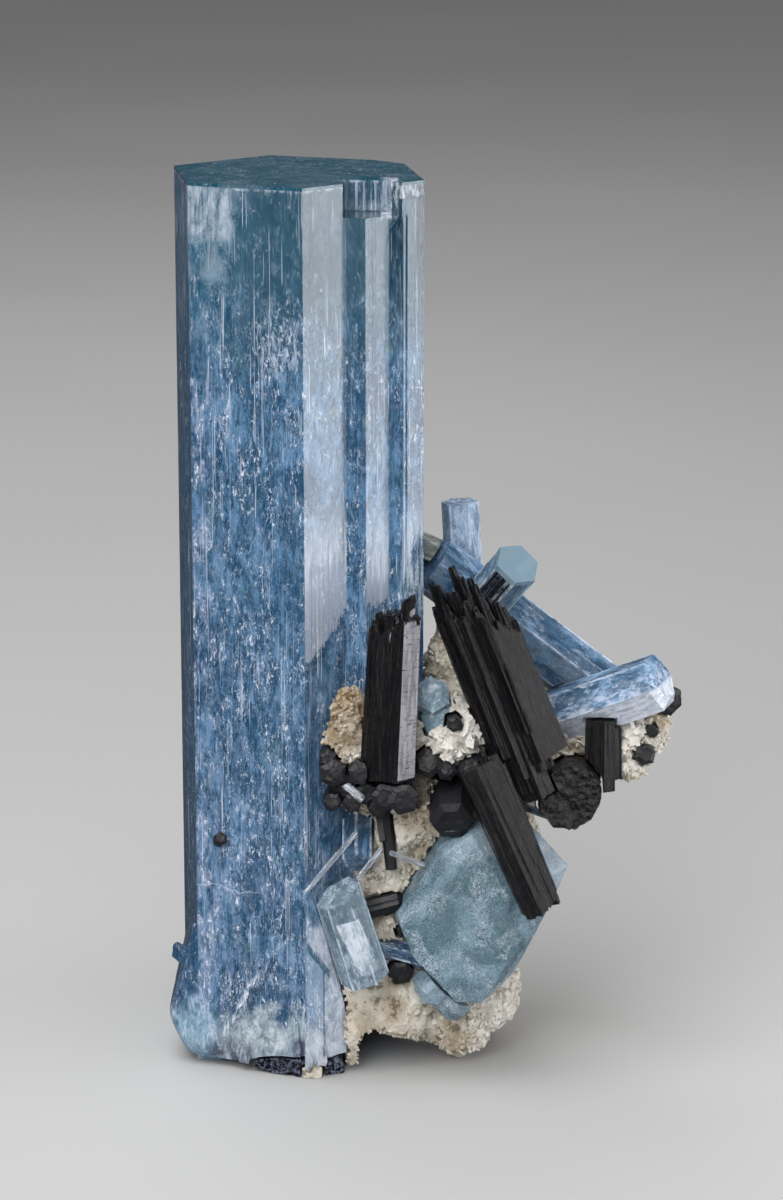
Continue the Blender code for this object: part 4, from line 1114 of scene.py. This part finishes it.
class SPECIMEN_OT_flakes(bpy.types.Operator):
    """White flakes that hang along the length of the big crystal, inside it"""

    bl_idname = "specimen.flakes"
    bl_label = "Flakes"

    def execute(self, context):
        rng = np.random.default_rng(31)
        count, groups, reach, bottom, top = sizes().flakes, 150, 11.2, 2.5, 99.5
        clumps = np.stack([rng.uniform(-11, 11, groups), rng.uniform(-11, 11, groups),
                           3 + 92 * rng.random(groups) ** 1.1], 1)
        centres = clumps[rng.integers(0, groups, count)] + rng.normal(size=(count, 3)) * (1.1, 1.1, 3.0)
        x, y, z = centres.T
        centres = centres[(np.hypot(x, y) < reach) & (z > bottom) & (z < top)]
        count = len(centres)
        tall = rng.uniform(0.08, 0.5, count) * rng.uniform(0.4, 1.0, count)
        spread = np.stack([rng.uniform(0.03, 0.12, count), np.full(count, 0.015), tall], 1)
        turn = rng.uniform(0, math.pi, count)
        diamond = np.array([(1, 0, 0), (0, 1, 0), (-1, 0, 0), (0, -1, 0), (0, 0, 1), (0, 0, -1)], float)
        sides = [(0, 1, 4), (1, 2, 4), (2, 3, 4), (3, 0, 4), (1, 0, 5), (2, 1, 5), (3, 2, 5), (0, 3, 5)]
        x, y, z = np.moveaxis(diamond * spread[:, None], -1, 0)
        c, s = np.cos(turn)[:, None], np.sin(turn)[:, None]
        turned = np.stack([x * c - y * s, x * s + y * c, z], -1)
        item = new_object("inner_flakes", scattered(turned, sides, centres))
        finish_piece(item, None, flake_skin(colours()), 30)
        return {"FINISHED"}


# ---------------------------------------------------------------- schorl


class SPECIMEN_OT_schorl_prisms(bpy.types.Operator):
    """The large schorl: the upright pair, the splintered fan, the rod, the round end and the block"""

    bl_idname = "specimen.schorl_prisms"
    bl_label = "Schorl prisms"

    def execute(self, context):
        skin = schorl_skin("schorl", colours())
        rough = schorl_skin("schorl_rough", colours(), False)
        fine = {"step": 0.13, "row": 0.8, "depth": 0.16, "width": 0.45}
        pair = [prism((11, -14.9, 38.2), (12, -15.2, 57.2), schorl_section(2.5), -50, 0.92, ragged=1.6,
                      relief=0.25, seed=41, **fine),
                prism((12.6, -14.5, 38), (13.5, -14.8, 57.9), hexagon(2.7), FACE_TURN, 0.92, ragged=0.9,
                      relief=0.2, seed=42, step=0.13, row=0.8, depth=0.06, width=0.5),
                prism((13.9, -14.4, 52), (14.4, -14.9, 59.8), hexagon(1.1), FACE_TURN, 0.8, lean=(0, 0.5),
                      ragged=0.5, seed=43, **fine)]
        for k, top in enumerate((58.4, 57.4, 58.1, 57)):
            tip = (11 + 0.9 * k, -15.6 + 0.4 * (k % 2), top)
            pair.append(prism((10.6 + 0.9 * k, -15.2, 50), tip, hexagon(0.8), 17 * k, 0.6, ragged=0.6,
                              seed=44 + k, **fine))
        # painted sheen: the pair's faces towards the side card get a paler grey painted as a reflection
        painted_sheen(Specimen.grow("schorl_pair", "schorl_prism_left", pair, skin, "schorl"), FACE_WAY,
               (12.2, -30, 38.5), (30, 0, 58.5))
        Specimen.grow("schorl_splintered", "schorl_fan", self.fan(fine), skin, "schorl")
        Specimen.grow("schorl_long_rod", "schorl_rod", [
            prism((22.3, -15.6, 39.6), (29.9, -19.4, 23.2), schorl_section(2.75), 18, 0.96,
                  lean=(0.18, -0.12), ragged=0.8, relief=0.3, seed=61, **fine),
            prism((23.8, -14.6, 40.6), (30.6, -18.2, 24.6), hexagon(1.7), 0, 0.9, ragged=0.6, seed=62,
                  **fine),
        ], skin, "schorl")
        wide = np.array([polar(4.1 * (1 + 0.04 * math.sin(5.1 * k)), 36 * k) for k in range(10)])
        Specimen.grow("schorl_round_end", "schorl_round", [
            prism((33.8, -4, 33.6), (33.4, -13.6, 35.1), wide, 8, 0.93, lean=(0.05, 0.1), step=0.2,
                  row=0.35, depth=0.1, rough=0.14, relief=0.15, caps=16, seed=63),
        ], rough, "schorl")
        Specimen.grow("schorl_upright_block", "schorl_block", [
            prism((37.4, -7.2, 34.2), (37.4, -6.4, 42.6), schorl_section(2.1), 30, 0.95, seed=64, **fine),
            prism((38.9, -6.8, 35.4), (38.8, -6.2, 41.6), hexagon(1.1), 10, seed=65, **fine),
        ], skin, "schorl")
        return {"FINISHED"}

    @staticmethod
    def fan(fine):
        """Parallel prisms side by side, which end upward in splinters of many lengths."""
        along = np.array((-0.36, -0.03, 0.93))
        along /= np.linalg.norm(along)

        def strand(tip, length, section, turn, **shape):
            return prism(np.array(tip) - along * length, tip, section, turn, **{**fine, **shape})

        strands = [
            strand((23.4, -12.2, 56.8), 18, schorl_section(3.6), -20, taper=0.94, lean=(0.3, -0.3),
                   ragged=2.2, relief=0.4, depth=0.08, seed=51),
            strand((20.2, -12.2, 57.2), 22.6, schorl_section(3.5), -15, taper=0.92, lean=(0.2, -0.3),
                   ragged=2.2, relief=0.5, depth=0.2, width=0.3, seed=52),
            strand((21.9, -12.9, 57.6), 20.6, schorl_section(2.7), 40, taper=0.9, lean=(0.2, -0.3),
                   ragged=2, relief=0.6, depth=0.26, width=0.3, rough=0.12, seed=55),
            strand((18.3, -11.6, 58.2), 15.6, hexagon(1.7), 5, taper=0.9, ragged=1.2, seed=53),
            strand((24.8, -13.4, 48), 13.6, hexagon(2.2), 12, taper=0.8, lean=(0.6, 0.4), ragged=0.8,
                   seed=54),
        ]
        tips = [(16.9, -12.2, 61), (17.7, -12.8, 60.8), (18.9, -13.2, 60), (19.3, -12.2, 62.9),
                (20.4, -12.8, 61.7), (21.4, -12.2, 61.6), (18.6, -14.4, 58.8), (22.6, -14.2, 60),
                (23.6, -12.6, 59.4), (24.5, -12.8, 58.7), (25.4, -12.2, 58), (19.6, -13.8, 60.4),
                (21.2, -14, 60.2), (22, -12.6, 60.8)]
        slim = [(-1.7, 2.6, 0.6, 16, 0.9), (-0.7, 3.1, 1.4, 19, 1), (0.4, 2.9, 0.2, 21, 1.1),
                (1.3, 2.4, 1.8, 18, 1.2), (2.1, 2.6, 0.6, 20, 1), (2.9, 3.2, -0.6, 15, 0.8)]
        side, front = np.array((0.932, -0.02, 0.361)), np.array((-0.011, -1, -0.028))
        for k, (right, forward, rise, length, radius) in enumerate(slim):
            tip = np.array((20.2, -12.2, 57.2)) + side * right + front * forward + along * rise
            strands.append(strand(tip, length, hexagon(radius * 0.8), 31 * k, taper=0.75, ragged=1.2,
                                  depth=0.2, width=0.25, relief=0.3, seed=230 + k))
        return strands + [strand(tip, 10 + k % 3, hexagon(1.15 - 0.1 * (k % 3), 0.8), 23 * k, taper=0.4,
                                 ragged=0.5, seed=70 + k) for k, tip in enumerate(tips)]


SCHORL_LEFT = [  # root, tip, radius
    ((5.6, -12.4, 38.6), (5.6, -16.8, 39), 1.7), ((8.6, -12, 38.6), (8.8, -17.2, 39.2), 1.5),
    ((5.5, -12, 35.2), (5.5, -16.8, 35.5), 1.2), ((7.8, -12, 35.2), (7.8, -17, 35.5), 1.25),
    ((7, -12, 37.2), (6.9, -16, 37.2), 1.5), ((9.4, -12, 36.4), (9.4, -16.4, 36.4), 1.4),
    ((11.2, -12, 35.8), (11.6, -17, 36.2), 1.7), ((10.6, -12, 34.4), (10.8, -16.4, 34.6), 1.2),
    ((13.2, -12, 35.4), (13.8, -17, 36), 2), ((4.9, -12.6, 40.2), (4.9, -16, 40.5), 1.1)]
SCHORL_MIDDLE = [  # root, tip, radius
    ((15, -9, 34.6), (15.2, -15, 36.2), 2), ((17.2, -8, 37.6), (16.6, -13.4, 39.4), 1.9),
    ((18.8, -8, 37), (18.9, -13.9, 38.6), 1.3), ((19.6, -8, 34.6), (19.4, -15.6, 32.8), 2.6),
    ((21.8, -7.5, 36.6), (22, -12.6, 38.4), 2.1)]
SCHORL_BLADES = [  # root, tip, radius
    ((9.7, -13.6, 36.2), (11, -15.6, 28.2), 0.75), ((11.6, -12, 34.6), (12.4, -14.8, 26.6), 1.35),
    ((10.9, -12, 35), (11.6, -14.4, 30), 1.1)]
SCHORL_SINGLES = {
    "schorl_lower_bar": ((8.4, -13, 20.8), (13.6, -13.4, 22.4), 1.3),
    "schorl_lower_bead": ((13.6, -8, 18), (13.9, -13.2, 18.4), 1),
    "schorl_lower_stub": ((13.2, -8, 13), (13.6, -13.6, 13.2), 1.5),
    "schorl_on_nub": ((19.6, -8, 43.6), (19.8, -14, 44.2), 0.95),
    "schorl_right_end": ((42.6, 2.5, 44.4), (46, -3, 43.8), 1.9),
    "schorl_right_bead": ((43.2, -2.5, 40.6), (43.6, -6, 41), 0.75),
    "schorl_right_foot": ((42.2, -2.5, 37), (42.8, -6.2, 38.2), 1.35),
    "schorl_speck": ((-8.2, -9.5, 28.4), (-7.9, -11.4, 29.4), 0.85),
}


class SPECIMEN_OT_schorl_beads(bpy.types.Operator):
    """The little black crystals that stud the feldspar, most of them seen end on"""

    bl_idname = "specimen.schorl_beads"
    bl_label = "Schorl beads"

    def execute(self, context):
        skin = bpy.data.materials["schorl"]
        fine = {"step": 0.14, "row": 0.3, "depth": 0.09, "width": 0.4, "relief": 0.12, "caps": 8}
        worn = {"rough": 0.05, **fine}
        left = bundle(SCHORL_LEFT, 13, 90, taper=0.9, chamfer=0.3, **worn)
        middle = bundle(SCHORL_MIDDLE, 11, 110, taper=0.86, chamfer=0.4, **worn)
        for node, crystals in (("schorl_cluster_left", left), ("schorl_cluster_middle", middle)):
            Specimen.grow(node + "_crystals", node, crystals, skin, "schorl")
        blades = bundle(SCHORL_BLADES, 20, 130, squash=0.6, taper=0.75, **fine)
        Specimen.grow("schorl_blade_crystals", "schorl_blades", blades, skin, "schorl")
        singles = bundle(SCHORL_SINGLES.values(), 17, 140, taper=0.9, chamfer=0.25, **worn)
        for node, crystal in zip(SCHORL_SINGLES, singles):
            Specimen.grow(node + "_crystal", node, [crystal], skin, "schorl")
        return {"FINISHED"}


# ---------------------------------------------------------------- smaller aquamarines, fluorite, needles


SMALL_BERYLS = {
    # node: the root, tip, radius and turn of its crystals, how they end, and how veiled and clear they are
    "stub_aquamarine": ([((23, -3, 55.6), (27.2, -9, 62.4), 2.85, 12)], dict(taper=1),
                        dict(milk=0.42, veils=0.45, tint="ice", panel=((-2.35, -0.15), (4.2, 9.2)),
                             plain_end=9.25)),
    "fat_aquamarine": ([((28.8, 0.4, 39.7), (44.8, -6.8, 47.6), 3.6, -6)], dict(taper=0.97, chamfer=0.8),
                       dict(milk=0.55, veils=0.75, pale=0.4, silver=1)),
    "long_aquamarine": ([((39.4, 4.4, 41.9), (17, -0.6, 60.5), 4, 20)], {},
                        dict(veils=0.5, pale=0.25)),
    "upright_aquamarine": ([((21.6, 6.6, 50), (20.7, 6.6, 66.3), 2.3, 24)], dict(taper=1),
                           dict(milk=0.6, veils=1.1, pale=0.6, tint="sky")),
    "pale_beryl": ([((12.6, 4.2, 62.4), (18.7, 0.2, 60.8), 2.1, 10)], dict(chamfer=0.5),
                   dict(veils=0.4, pale=0.7, density=30, tint="yellow")),
    "glassy_aquamarine": ([((9.3, -16.4, 13.6), (6.1, -17.6, 24.6), 2.95, 28)],
                          dict(taper=0.96, lean=(0, 0.28)),
                          dict(milk=0.25, veils=0.9, pale=0.95, density=12, roughness=0.02, tint="ice",
                               window=((-1.2, 1.6), (1.4, 8.8)))),
    "cross_aquamarine": ([((9.8, -12.2, 16.4), (16.8, -12.8, 14.6), 1.4, 25)], {},
                         dict(veils=0.5, pale=0.2)),
    "aquamarine_lumps": ([((16.6, -6, 43.6), (17.2, -11.6, 47.4), 2.3, 0),
                          ((17.6, -6, 41.8), (18.2, -11.6, 44.4), 2.4, 21)], dict(taper=0.85, chamfer=0.5),
                         dict(milk=0.6, pale=0.75, tint="ice")),
    "dull_aquamarine": ([((8.4, -10.5, 31), (8.4, -15.2, 27.4), 2, 5)], dict(chamfer=0.3),
                        dict(veils=0.3, density=30)),
    "green_aquamarine": ([((27.2, -7.5, 33.6), (32.2, -9.6, 32.2), 1.45, 15)], {},
                         dict(milk=0.4, veils=0.4, tint="green")),
}


class SPECIMEN_OT_small_beryls(bpy.types.Operator):
    """The smaller aquamarines and the pale beryl that lie across the feldspar"""

    bl_idname = "specimen.small_beryls"
    bl_label = "Smaller beryls"
    rim_width = 0.22

    def execute(self, context):
        for k, (node, (crystals, ends, look)) in enumerate(SMALL_BERYLS.items()):
            shape = {"taper": 0.95, "step": 0.14, "row": 0.6, "depth": 0.06, "width": 0.45, "relief": 0.06}
            shape.update(ends)
            growths = [prism(root, tip, hexagon(radius), turn, seed=160 + 5 * k + n, **shape)
                       for n, (root, tip, radius, turn) in enumerate(crystals)]
            item = Specimen.grow(node + "_crystal", node, growths, small_beryl(node, colours(), **look),
                                 "aquamarine")
            root, *across = growths[0].axes[:3]
            apart = (coordinates(item) - root) @ np.array(across).T
            nearest = np.min([np.hypot(*(apart - corner).T) for corner in hexagon(crystals[0][2])], axis=0)
            # painted highlight: the edges are marked for a pale highlight along them
            set_attribute(item, "rim", np.clip(1.5 - nearest / self.rim_width, 0, 1))
        return {"FINISHED"}


class SPECIMEN_OT_fluorite(bpy.types.Operator):
    """The large etched fluorite and the small one below it"""

    bl_idname = "specimen.fluorite"
    bl_label = "Fluorite"

    def execute(self, context):
        front = [(17.6, -16.5, 28.4), (21.8, -16, 31.4), (26.2, -18.2, 24.2), (26, -18, 15.8),
                 (23.2, -17.6, 11), (20, -17.4, 11), (15, -16.8, 16.4), (13, -15.8, 21.4)]
        belt = [(12.5, -13, 20.8), (16.2, -12, 26.9), (18.1, -11.5, 30), (22.3, -11.5, 31.7),
                (28.1, -10.5, 31.9), (33.5, -11, 26), (31.8, -12.5, 22.5), (30.2, -13.5, 19.6),
                (27.2, -12, 13), (25.6, -12, 11.2), (22.5, -12.5, 9), (20.1, -12.5, 10.4),
                (14.9, -13, 15.7)]
        back = [(18, -6, 24), (28, -6, 27), (29, -6, 20), (22, -6, 13)]
        skin = fluorite_skin(colours())
        Specimen.grow("fluorite_crystal", "fluorite",
                      [faceted(front + belt + back, 170, 300, 160, 0.07, 1, 0.05, seed=12)], skin,
                      "fluorite", sharp=32)
        fine = {"step": 0.14, "row": 0.3, "depth": 0.03, "relief": 0.15, "rough": 0.07}
        Specimen.grow("fluorite_small_crystal", "small_fluorite", [
            prism((16.4, -13.6, 12.8), (21.2, -14.4, 8.6), hexagon(2.1), 12, 0.9, 0.9, seed=220, **fine),
            prism((16.6, -12.6, 12), (17.8, -16.4, 11.4), hexagon(1.95), 12, 0.9, 0.8, seed=221, **fine),
        ], skin, "fluorite", sharp=40)
        return {"FINISHED"}


class SPECIMEN_OT_needles(bpy.types.Operator):
    """Clear needles and a white blade among the schorl"""

    bl_idname = "specimen.needles"
    bl_label = "Needles"

    def execute(self, context):
        glass = needle_glass(colours())
        needles = {"needle_left": [((8.3, -14.6, 31.2), (2.2, -16.7, 24.4), 0.52),
                                   ((8.6, -14.8, 30.2), (3.6, -16.6, 24.9), 0.34)],
                   "needle_middle": [((11.2, -16, 29.6), (8, -17.2, 25.7), 0.52)],
                   "needle_right": [((16.2, -15, 27.3), (12.3, -17.8, 29.7), 0.55)],
                   "white_blade": [((6.3, -15.2, 37.8), (9, -18, 36.4), 0.7),
                                   ((6.8, -15.4, 36.8), (8, -17.6, 38.6), 0.3)]}
        for k, (node, blades) in enumerate(needles.items()):
            crystals = bundle(blades, 20, 240 + 2 * k, 12, 0.7, taper=0.85, lean=(0.3, 0.2), step=0.07,
                              row=0.3, depth=0.03, width=0.2, relief=0.05)
            Specimen.grow(node + "_crystal", node, crystals, glass, "quartz")
        return {"FINISHED"}


# ---------------------------------------------------------------- feldspar


FELDSPAR_LUMPS = [  # centre, radii
    ((7.3, -12.5, 42.9), (2.7, 2.6, 5.6)), ((10.6, -11.3, 41), (3.8, 2, 6)),
    ((9.4, -11.4, 36.6), (5, 2, 3.8)), ((14.6, -10, 38), (3.6, 3, 6.5)),
    ((19.8, -8.4, 42), (4.3, 5, 4.6)), ((19.6, -1.6, 46), (3.6, 5.4, 7.2)),
    ((21.6, 5.6, 46.5), (4.6, 4.6, 7.6)), ((14.4, -8.6, 31), (5.6, 5.2, 5.4)),
    ((12.4, -8.6, 21.5), (4.8, 5.2, 9)), ((12, -8.6, 8.4), (6.2, 5.4, 6.2)),
    ((7.6, -11, 6.2), (2.6, 3, 5.6)), ((19.8, -7, 6.2), (4.4, 5.2, 6)),
    ((23.4, -5, 9.6), (4, 5.6, 6.2)), ((21, 1, 37), (8.5, 9.5, 9.5)),
    ((30, 1.5, 37.6), (8.5, 7.6, 6.6)), ((37.6, 0.6, 39.4), (7, 6.2, 5.4)),
    ((40.8, -3.2, 38.2), (2.8, 3, 4.2)), ((43.4, -2, 40.2), (2.8, 3.2, 3.8)),
    ((21.5, 0, 23), (9, 9.5, 12)), ((17.5, 0.5, 10.5), (8.5, 9.5, 9)),
    ((15.5, 9, 17), (6.5, 5.5, 13)), ((17.5, 7.5, 32), (6, 6, 10))]
WHITE_SPOTS = [  # centre, radius
    ((19.8, -12.4, 42), 4.2), ((40.6, -5, 38.6), 3.6), ((8.2, -15, 39.4), 1.8),
    ((26, -8, 8), 4.4), ((24, -8, 3), 3.4), ((31.4, -5, 41.4), 2.4),
    ((16.6, -13.6, 36), 1.8)]


class SPECIMEN_OT_feldspar(bpy.types.Operator):
    """The feldspar that holds the specimen together: knobbly, blocky and sugary"""

    bl_idname = "specimen.feldspar"
    bl_label = "Feldspar"

    def execute(self, context):
        foot = faceted([(18.4, -7.4, 0), (21, -7.2, 0), (21.4, -3, 0), (18, -3, 0),
                        (17, -8, 5), (22.4, -7, 5), (22.8, -3, 5), (17, -2, 5)], 30, 60)
        lumps = [ball(*lump) for lump in FELDSPAR_LUMPS]
        item = new_object("feldspar_ground", joined(lumps + [foot.surface]))
        remesh = item.modifiers.new("even_skin", "REMESH")
        remesh.mode, remesh.voxel_size = "VOXEL", sizes().voxel
        settle(item)
        places = coordinates(item)
        places += vertex_normals(item) * self.skin(places)[:, None]
        item.data.vertices.foreach_set("co", (places * MM).astype(np.float32).ravel())
        Specimen.cut_back(item, [front_arch(8.2)])
        places = coordinates(item)
        set_attribute(item, "hollow", np.clip(0.3 - 1.2 * self.knobs(places), 0, 1))
        set_attribute(item, "clean", self.clean(places))
        skin = feldspar_skin(colours())
        finish_piece(item, "feldspar_matrix", skin, 50)
        self.grains(item, skin)
        return {"FINISHED"}

    @staticmethod
    def knobs(places):
        """Rounded knobs a few millimetres across."""
        return layered_noise(places / 3.2, 4, 2)

    @staticmethod
    def clean(places):
        """How near a place is to one of the white spots, from 0 to 1."""
        return np.max([np.clip(1.4 - np.linalg.norm(places - spot, axis=1) / radius, 0, 1)
                       for spot, radius in WHITE_SPOTS], axis=0)

    @classmethod
    def skin(cls, places):
        """How far the skin moves out: knobs, then flat chips of two sizes. The slab below is smoother."""
        slab = np.clip((16 - places[:, 2]) / 6, 0, 1)
        spiky = 1 + 0.9 * cls.clean(places) - 0.6 * slab
        return (0.7 * cls.knobs(places) * (1 - 0.4 * slab) + 0.45 * broken_skin(places / 1.3, 6) * spiky
                + 0.28 * broken_skin(places / 0.75, 8) * spiky - 0.1)

    def grains(self, ground, skin):
        """Small blocks with uneven corners, each turned its own way, half sunk in the feldspar."""
        rng = np.random.default_rng(77)
        places, normals = coordinates(ground), vertex_normals(ground)
        weight = 0.15 + 1.6 * self.clean(places) + 0.5 * np.clip((places[:, 2] - 12) / 6, 0, 1)
        picked = rng.choice(len(places), sizes().grains, replace=False, p=weight / weight.sum())
        centre, normal = places[picked], normals[picked]
        clear = np.ones(len(centre), bool)
        for points, _ in Specimen.taken:
            near = (centre > points.min(0) + 0.2) & (centre < points.max(0) - 0.2)
            clear &= ~near.all(1) | (rng.random(len(centre)) < 0.5)
        clear &= centre[:, 2] > 1.2
        centre, normal = centre[clear], normal[clear]
        spin = rng.normal(size=(len(centre), 4))
        w, x, y, z = (spin / np.linalg.norm(spin, axis=1)[:, None]).T
        turn = np.stack([1 - 2 * (y * y + z * z), 2 * (x * y - w * z), 2 * (x * z + w * y),
                         2 * (x * y + w * z), 1 - 2 * (x * x + z * z), 2 * (y * z - w * x),
                         2 * (x * z - w * y), 2 * (y * z + w * x), 1 - 2 * (x * x + y * y)], 1)
        size = rng.uniform(0.06, 0.22, (len(centre), 1)) * rng.uniform(0.5, 1.8, (len(centre), 3))
        size *= 1 + 1.1 * self.clean(centre)[:, None]
        cube = np.array(list(itertools.product((-1, 1), repeat=3)), float)
        local = cube * size[:, None] * rng.uniform(0.75, 1.1, (len(centre), 8, 1))
        sides = [(0, 1, 3), (0, 3, 2), (4, 6, 7), (4, 7, 5), (0, 4, 5), (0, 5, 1), (2, 3, 7), (2, 7, 6),
                 (0, 2, 6), (0, 6, 4), (1, 5, 7), (1, 7, 3)]
        item = new_object("feldspar_grains", scattered(
            np.einsum("nij,nkj->nki", turn.reshape(-1, 3, 3), local), sides, centre + normal * 0.08))
        set_attribute(item, "hollow", np.clip(0.1 - 0.8 * self.knobs(coordinates(item)), 0, 1))
        set_attribute(item, "clean", self.clean(coordinates(item)))
        finish_piece(item, None, skin, 30)


# ---------------------------------------------------------------- stage


class SPECIMEN_OT_stage(bpy.types.Operator):
    """Floor, surroundings, soft lights and camera"""

    bl_idname = "specimen.stage"
    bl_label = "Stage"

    def execute(self, context):
        scene, light = context.scene, context.scene.specimen_light
        half, level = 4000.0, -0.02
        corners = np.array([(-half, -half, level), (half, -half, level), (half, half, level),
                            (-half, half, level)])
        floor = new_object("floor", (corners, np.array([(0, 1, 2), (0, 2, 3)])))
        floor.data.materials.append(floor_paint(colours()))
        floor.visible_glossy = False
        sky = Paint("surroundings", bpy.data.worlds.new("surroundings"))
        up, = sky.split(sky.node("TexCoord", output="Generated"), "Z")
        grey = sky.node("Background", inputs={"Strength": up.between(0.3, 0.95, light.horizon, light.sky)})
        sky.node("OutputWorld", inputs={"Surface": grey})
        scene.world = sky.material
        # name: power, place, what it shines on, width, height, spread
        lights = {
            "side_card": (light.card, (0.20, -0.055, 0.071), (0.012, -0.010, 0.075), 0.11, 0.13, 1.9),
            "back_light": (light.back, (-0.15, 0.42, 0.62), (0.012, 0.0, 0.05), 0.40, 0.40, math.pi),
            "top_light": (light.top, (-0.10, -0.20, 0.62), (0.012, 0.0, 0.04), 0.55, 0.55, math.pi),
            "front_light": (light.front, (-0.20, -0.62, 0.38), (0.012, 0.0, 0.05), 0.40, 0.40, math.pi),
        }
        for name, how in lights.items():
            self.soft_light(name, *how)
        camera = bpy.data.objects.new("camera", bpy.data.cameras.new("camera"))
        scene.collection.objects.link(camera)
        camera.data.lens, camera.data.sensor_width = light.lens, 36.0
        camera.data.clip_start, camera.data.clip_end = 0.01, 20.0
        aim_across, aim_up = 0.0124, 0.0557
        camera.location = (aim_across, -light.distance * math.cos(light.pitch),
                           aim_up + light.distance * math.sin(light.pitch))
        camera.rotation_euler = (math.pi / 2 - light.pitch, 0.0, 0.0)
        scene.camera = camera
        scene.view_settings.view_transform = "Standard"
        return {"FINISHED"}

    @staticmethod
    def soft_light(name, power, place, target, width, height, spread):
        data = bpy.data.lights.new(name, "AREA")
        data.shape, data.size, data.size_y = "RECTANGLE", width, height
        data.energy, data.spread = power, spread
        lamp = bpy.data.objects.new(name, data)
        bpy.context.scene.collection.objects.link(lamp)
        towards = np.array(target) - np.array(place)
        towards /= np.linalg.norm(towards)
        lamp.location = place
        lamp.rotation_euler = (math.acos(-towards[2]), 0.0, math.atan2(-towards[0], towards[1]))
        lamp.visible_camera = False


# ---------------------------------------------------------------- panel and start


class SPECIMEN_PT_panel(bpy.types.Panel):
    """Lists the steps of the specimen, with its sizes, colours and light"""

    bl_idname = "SPECIMEN_PT_panel"
    bl_label = "Aquamarine specimen"
    bl_space_type = "VIEW_3D"
    bl_region_type = "UI"
    bl_category = "Specimen"

    def draw(self, context):
        for step in STEPS:
            self.layout.operator(step.bl_idname)
        for group in (sizes(), colours(), context.scene.specimen_light):
            for name in group.__annotations__:
                self.layout.prop(group, name)


STEPS = (SPECIMEN_OT_stage, SPECIMEN_OT_underside, SPECIMEN_OT_main_crystal, SPECIMEN_OT_flakes,
         SPECIMEN_OT_schorl_prisms, SPECIMEN_OT_schorl_beads, SPECIMEN_OT_small_beryls, SPECIMEN_OT_fluorite,
         SPECIMEN_OT_needles, SPECIMEN_OT_feldspar)
CLASSES = (SpecimenSizes, SpecimenColours, SpecimenLight, *STEPS, SPECIMEN_PT_panel)


def register():
    for item in CLASSES:
        bpy.utils.register_class(item)
    bpy.types.Scene.specimen_sizes = PointerProperty(type=SpecimenSizes)
    bpy.types.Scene.specimen_colours = PointerProperty(type=SpecimenColours)
    bpy.types.Scene.specimen_light = PointerProperty(type=SpecimenLight)


def unregister():
    del bpy.types.Scene.specimen_sizes, bpy.types.Scene.specimen_colours, bpy.types.Scene.specimen_light
    for item in reversed(CLASSES):
        bpy.utils.unregister_class(item)


def main():
    register()
    for step in STEPS:
        category, name = step.bl_idname.split(".")
        getattr(getattr(bpy.ops, category), name)()


if __name__ == "__main__":
    main()
